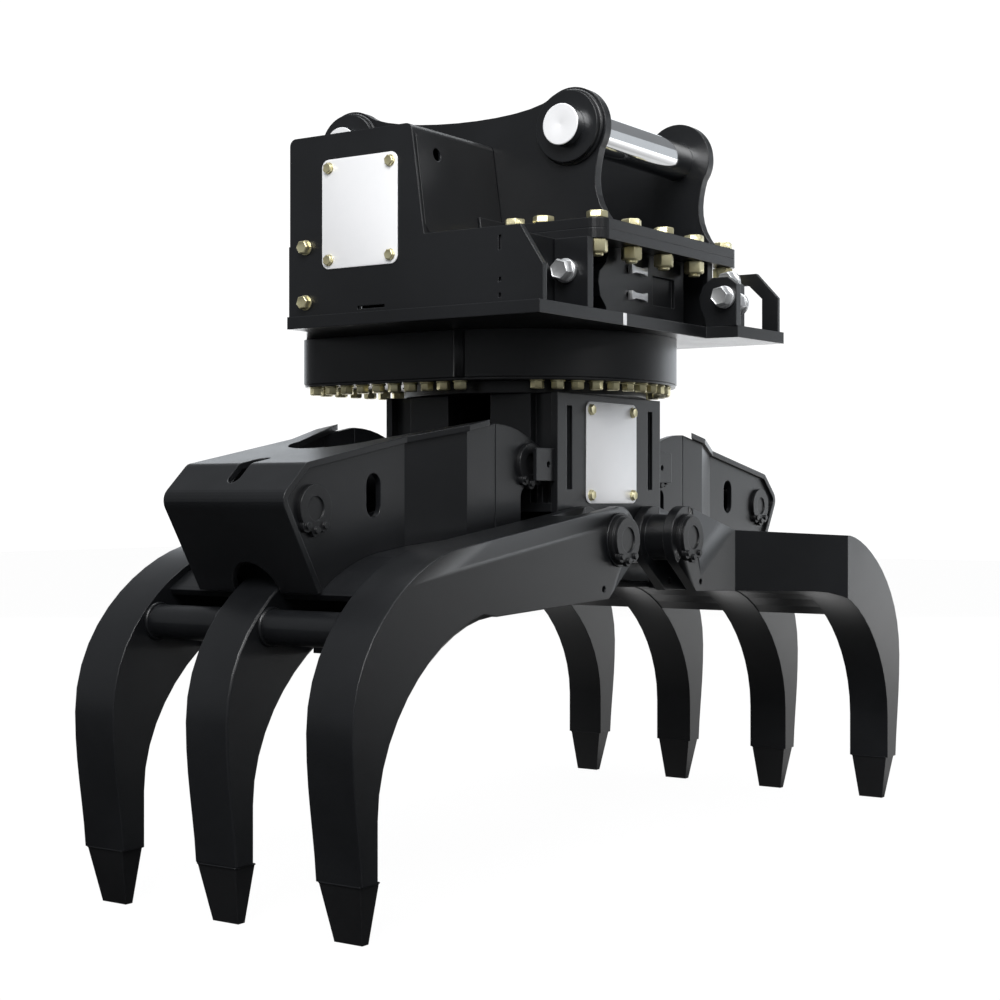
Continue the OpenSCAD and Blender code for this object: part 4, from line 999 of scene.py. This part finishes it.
    def webs(self) -> None:
        """Lays the beads along the feet of the head's webs."""
        off = self.bead * self.stand
        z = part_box("head_webs")[0].z + off
        for name, ends, y in (("near_web_weld", self.near_web_x, -self.web_y - off),
                              ("far_web_weld", self.far_web_x, self.web_y + off)):
            start, end = (Vector((x, y, z)) for x in ends)
            self.line(name, start, end, self.bead, "head")
        start, end = (Vector((self.side_web_x + off, y, z)) for y in self.side_web_y)
        self.line("right_web_weld", start, end, self.bead, "head")

    def tips(self) -> None:
        """Lays the bead round the top of every tip."""
        for side, hand in (("left", -1.0), ("right", 1.0)):
            for i, (low, high) in enumerate(solids(f"{side}_tips"), 1):
                outer = (low.x if side == "left" else high.x) + hand * self.tip_proud
                inner = outer - hand * self.tip_deep
                places = ((outer, low.y), (outer, high.y), (inner, high.y), (inner, low.y))
                corners = [Vector((x, y, high.z)) for x, y in places]
                for k, (start, end) in enumerate(zip(corners, corners[1:] + corners[:1]), 1):
                    self.line(f"{side}_tip_weld_{i}_{k}", start, end, self.tip_bead, f"{side}_claw")

    def build(self) -> list[Piece]:
        """Lays every bead.

        Returns:
            The beads.
        """
        self.tubes()
        self.collars()
        self.ears()
        self.webs()
        self.tips()
        return self.made


@dataclass
class Nameplates(Group):
    """The two bare stainless nameplates, with rounded corners and a broken rim."""

    corner: float = 0.018
    rim: float = 0.0008

    def plate(self, node: str, body: str, facing: Vector) -> None:
        """Models one plate in place of the plain one.

        Args:
            node: the CAD node.
            body: the body that it rides on.
            facing: where its front points.
        """
        piece = Bench.block(f"{node}_sheet", *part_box(node))
        Bench.edit(piece, "EDGE")
        Bench.pick(piece, "edges",
                   lambda e: abs((e.verts[0].co - e.verts[1].co).normalized().dot(facing)) > ALONG)
        bpy.ops.mesh.bevel(offset=self.corner, segments=8, affect="EDGES")
        Bench.soften(piece, self.rim, 2, 50.0)
        self.keep(piece, Finish.STAINLESS, body, node)

    def build(self) -> list[Piece]:
        """Builds both plates.

        Returns:
            The plates.
        """
        self.plate("cover_nameplate", "head", Vector((-1, 0, 0)))
        self.plate("frame_nameplate", "rotor", Vector((0, -1, 0)))
        return self.made


@dataclass
class SmallSheets(Group):
    """The cover's skirt above the bolted plates, and a bright stainless strip on the base plate's edge that
    is a painted highlight.
    """

    skirt: tuple[Triple, Triple] = ((-0.345, -0.1085, 1.364), (-0.2525, -0.1035, 1.426))
    skirt_lean: float = 0.008
    glint: tuple[Triple, Triple] = ((-0.236, -0.4096, 1.1825), (-0.223, -0.4075, 1.2085))
    rim: float = 0.0005

    def sheet(self, name: str, corners: tuple[Triple, Triple], lean: float, finish: Finish) -> None:
        """Models one small sheet with broken edges.

        Args:
            name: its name.
            corners: its lowest and highest corner.
            lean: how far its foot stands nearer than its top.
            finish: its finish.
        """
        piece = Bench.block(name, *map(Vector, corners))
        Bench.edit(piece)
        Bench.pick(piece, "faces", lambda f: f.normal.z < -ALONG)
        bpy.ops.transform.translate(value=(0, -lean, 0))
        Bench.soften(piece, self.rim, 1, 40.0)
        self.keep(piece, finish, "head")

    def build(self) -> list[Piece]:
        """Builds the sheets.

        Returns:
            The sheets.
        """
        self.sheet("cover_skirt", self.skirt, self.skirt_lean, Finish.BLACK)
        # A bright stainless strip painted where the base plate's edge catches a highlight.
        self.sheet("edge_glint", self.glint, 0.0, Finish.STAINLESS)
        return self.made


@dataclass
class HousingCorner(Group):
    """The half round bar on the corner of the slew housing's flat side."""

    radius: float = 0.014
    proud: float = 0.010
    chamfer: float = 0.003
    corner_y: float = -0.060

    def build(self) -> list[Piece]:
        """Stands the bar on the corner, from the housing's foot to its top.

        Returns:
            The bar.
        """
        low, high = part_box("ring_housing")
        spot = Vector((low.x + self.radius - self.proud, self.corner_y, (low.z + high.z) / 2))
        piece = Bench.rod("housing_corner", self.radius, high.z - low.z, spot, 40)
        Bench.edit(piece)
        Bench.pick(piece, "faces", lambda f: abs(f.normal.z) > ALONG)
        bpy.ops.mesh.inset(thickness=self.chamfer, depth=0.0)
        Bench.edit(piece, "EDGE")
        half = self.chamfer / 2
        Bench.pick(piece, "edges", lambda e: abs(e.verts[0].co.z - e.verts[1].co.z) < NEAR and all(
            (v.co - spot).xy.length > self.radius - half for v in e.verts))
        bpy.ops.mesh.bevel(offset=half, segments=2, affect="EDGES")
        Bench.smooth(piece, 40.0)
        self.keep(piece, Finish.BLACK, "head")
        return self.made


@dataclass
class PinEnds(Group):
    """The turned end faces of the two coupler pins, each with its chamfer and centre mark."""

    radius: float = 0.0445
    thick: float = 0.0015
    mark: float = 0.007
    dip: float = 0.6

    def build(self) -> list[Piece]:
        """Turns one end and sets it on both ends of both pins.

        Returns:
            The four ends.
        """
        master = Bench.rod("pin_end", self.radius, self.thick, Vector((0, 0, self.thick / 2)), 64)
        Bench.edit(master)
        Bench.pick(master, "faces", lambda f: f.normal.z > ALONG)
        bpy.ops.mesh.inset(thickness=self.thick * 0.8, depth=0.0)
        bpy.ops.mesh.inset(thickness=self.radius - self.thick - self.mark, depth=0.0)
        bpy.ops.mesh.inset(thickness=self.mark * 0.5, depth=-self.thick * self.dip)
        bpy.ops.mesh.select_all(action="DESELECT")
        Bench.pick(master, "verts", lambda v: v.co.z > self.thick - NEAR
                   and v.co.xy.length > self.radius - NEAR)
        bpy.ops.transform.translate(value=(0, 0, -self.thick * self.dip))
        Bench.smooth(master, 28.0)
        for i, (low, high) in enumerate(solids("coupler_pins"), 1):
            middle = (low + high) / 2
            for side, x, way in (("left", low.x, -1.0), ("right", high.x, 1.0)):
                piece = Bench.place(master, f"pin_end_{i}_{side}", Vector((x, middle.y, middle.z)),
                                    Vector((way, 0, 0)))
                self.keep(piece, Finish.STAINLESS, "head")
        Bench.drop(master)
        return self.made


@dataclass
class CoverShadowBead(Group):
    """A thin dark bead laid as painted shade in the joint between the cover's proud front sheet and its tall
    side.
    """

    radius: float = 0.0012
    front: float = 0.009
    foot: float = 0.003
    bend: float = 0.022
    side: float = -0.080
    flare: float = 0.031
    shoulder: float = 1.365
    end: float = -0.300
    steps: int = 6

    def build(self) -> list[Piece]:
        """Lays the dark bead of painted shade down the front edge, round the corner and along the shoulder.

        Returns:
            The seal.
        """
        low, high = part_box("cover_box")
        x, z = low.x + self.front, self.shoulder + self.foot

        def spot(along: float, up: float) -> Vector:
            """Gives a place on the slanting side."""
            lean = self.flare * (high.z - up) / (high.z - self.shoulder)
            return Vector((along, self.side - lean - self.radius * 0.2, up))

        step = math.pi / (2 * self.steps)
        turn = [spot(x + self.bend * (1 - math.cos(a)), z + self.bend * (1 - math.sin(a)))
                for a in (step * k for k in range(self.steps + 1))]
        spots = [spot(x, high.z - self.bend), *turn, spot(self.end, z)]
        Bench.clear()
        bpy.ops.mesh.primitive_circle_add(vertices=8, radius=self.radius, fill_type="NGON", location=spots[0])
        piece = Bench.named("cover_shadow_bead")
        Bench.edit(piece)
        bpy.ops.mesh.select_all(action="SELECT")
        for start, stop in zip(spots, spots[1:]):
            bpy.ops.mesh.extrude_region_move(TRANSFORM_OT_translate={"value": stop - start})
            if stop is not spots[-1] and start is not spots[0]:
                bpy.ops.transform.rotate(value=-step, orient_axis="Y", center_override=stop)
        bpy.ops.mesh.select_all(action="SELECT")
        bpy.ops.mesh.normals_make_consistent(inside=False)
        Bench.smooth(piece, 50.0)
        # The dark bead stands for the shadow line in the joint.
        self.keep(piece, Finish.DARK, "head")
        return self.made


@dataclass(frozen=True)
class Lamp:
    """A soft lamp: its place, what it points at, its sides in metres, its power in watts, its colour."""

    name: str
    spot: Triple
    target: Triple
    size: tuple[float, float]
    power: float
    tint: Colour = (1.0, 1.0, 1.0)

    def build(self) -> None:
        """Hangs the lamp."""
        data = bpy.data.lights.new(self.name, "AREA")
        data.shape, data.energy, data.color = "RECTANGLE", self.power, self.tint
        data.size, data.size_y = self.size
        made = bpy.data.objects.new(self.name, data)
        made.location = self.spot
        made.rotation_euler = (Vector(self.target) - Vector(self.spot)).to_track_quat("-Z", "Y").to_euler()
        bpy.context.scene.collection.objects.link(made)


@dataclass
class Studio:
    """Pale floor, white surroundings, soft lamps and the camera."""

    eye: Vector = field(default_factory=lambda: Vector((-3.589, -2.361, 0.806)))
    look: Vector = field(default_factory=lambda: Vector((0.8277, 0.5612, 0.0)))
    lens: float = 64.8
    sensor: float = 36.0
    lamps: tuple[Lamp, ...] = (
        Lamp("Back wall", (6.4, 4.4, 2.2), (0.0, 0.0, 1.2), (22.0, 5.0), 410.0, (0.90, 0.95, 1.0)),
        Lamp("Right wall", (7.8, -3.6, 2.2), (0.0, 0.0, 1.0), (4.0, 5.0), 26.0, (0.90, 0.95, 1.0)),
        Lamp("Top softbox", (0.9, 0.4, 4.6), (0.0, 0.0, 0.9), (3.2, 3.2), 110.0, (0.95, 0.98, 1.0)),
        Lamp("Front softbox", (-4.6, -2.0, 4.8), (0.0, 0.0, 1.0), (3.4, 3.4), 400.0),
        Lamp("Side softbox", (-0.6, -4.6, 3.6), (0.0, 0.0, 0.9), (2.0, 2.0), 60.0))
    sky: Colour = (0.93, 0.96, 1.0)
    floor_size: float = 40.0
    floor_z: float = -0.0005
    floor_grey: float = 0.42
    seen_through: float = 0.90
    mirror_share: float = 0.95
    far: float = 5.0
    # The world is gloom to the object and white to the camera. Mirrored, the floor shines by surround,
    # which is full from far on, and by near_glow, which rises along beside (X) and behind (Y).
    surround: float = 1.8
    gloom: float = 0.27
    white: float = 1.08
    beside: tuple[float, float] = (0.95, 1.30)
    behind: tuple[float, float] = (-2.6, -1.4)
    near_glow: float = 0.8

    def camera(self) -> None:
        """Sets the camera at the photograph's angle."""
        data = bpy.data.cameras.new("Camera")
        data.lens, data.sensor_width, data.clip_end = self.lens, self.sensor, 100.0
        made = bpy.data.objects.new("Camera", data)
        made.location = self.eye
        made.rotation_euler = self.look.to_track_quat("-Z", "Y").to_euler()
        bpy.context.scene.collection.objects.link(made)
        bpy.context.scene.camera = made

    def floor(self) -> None:
        """Lays the floor: pale, bright where it is mirrored, and nearly clear to the camera."""
        Bench.clear()
        bpy.ops.mesh.primitive_plane_add(size=self.floor_size, location=(0, 0, self.floor_z))
        piece = Bench.named("floor")
        s = Sheet(bpy.data.materials.new("Pale floor"))
        plain = s.node("ShaderNodeBsdfDiffuse", None, {"Color": (*[self.floor_grey] * 3, 1.0)})
        along = s.node("ShaderNodeVectorMath", {"operation": "DOT_PRODUCT"},
                       {0: s.place(), 1: tuple(self.look)}, "Value")
        beside = s.node("ShaderNodeSeparateXYZ", None, {0: s.place()}, 0).ramp(*self.beside)
        behind = s.node("ShaderNodeSeparateXYZ", None, {0: s.place()}, 1).ramp(*self.behind)
        mirrored = s.node("ShaderNodeLightPath", out="Is Glossy Ray")
        seen = s.node("ShaderNodeLightPath", out="Is Camera Ray")
        power = mirrored * (along.ramp(0.0, self.far) * self.surround).most(beside * behind * self.near_glow)
        glow = s.node("ShaderNodeEmission", None, {"Color": (1.0, 1.0, 1.0, 1.0), "Strength": power})
        mixed = s.node("ShaderNodeMixShader", None, {0: mirrored * self.mirror_share, 1: plain, 2: glow})
        clear = s.node("ShaderNodeBsdfTransparent")
        s.end(s.node("ShaderNodeMixShader", None, {0: seen * self.seen_through, 1: mixed, 2: clear}))
        piece.data.materials.append(s.owner)

    def world(self) -> None:
        """Gives the plain surroundings, white where they are seen."""
        world = bpy.data.worlds.new("Surroundings")
        bpy.context.scene.world = world
        s = Sheet(world, "World")
        dim = s.node("ShaderNodeBackground", None, {"Color": (*self.sky, 1.0), "Strength": self.gloom})
        white = s.node("ShaderNodeBackground", None, {"Color": (1.0, 1.0, 1.0, 1.0), "Strength": self.white})
        seen = s.node("ShaderNodeLightPath", out="Is Camera Ray")
        s.end(s.node("ShaderNodeMixShader", None, {0: seen, 1: dim, 2: white}))

    def build(self) -> None:
        """Builds the studio."""
        self.camera()
        self.floor()
        self.world()
        for lamp in self.lamps:
            lamp.build()
        bpy.context.scene.view_settings.view_transform = "Standard"


def main() -> None:
    """Builds the dressed grapple."""
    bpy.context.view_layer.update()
    palette = Palette()
    Studio().build()
    palette.dress_frame()
    LOG.info("frame dressed: %d nodes", len(FRAME["nodes"]))
    rows = {"left": ("near", "middle", "far"), "right": ("near", "near_middle", "far_middle", "far")}
    for side, words in rows.items():
        nodes = tuple(f"{side}_tine_{word}" for word in words)
        LOG.info("%s claw: %d tines", side, len(Tines(palette, side, nodes).build()))
    for part in (Fasteners, Welds, Nameplates, CoverShadowBead, SmallSheets, HousingCorner, PinEnds):
        made = part(palette).build()
        LOG.info("%s, %d pieces: %s", part.__name__, len(made), ", ".join(piece.name for piece in made))
    Bench.clear()


if __name__ == "__main__":
    main()
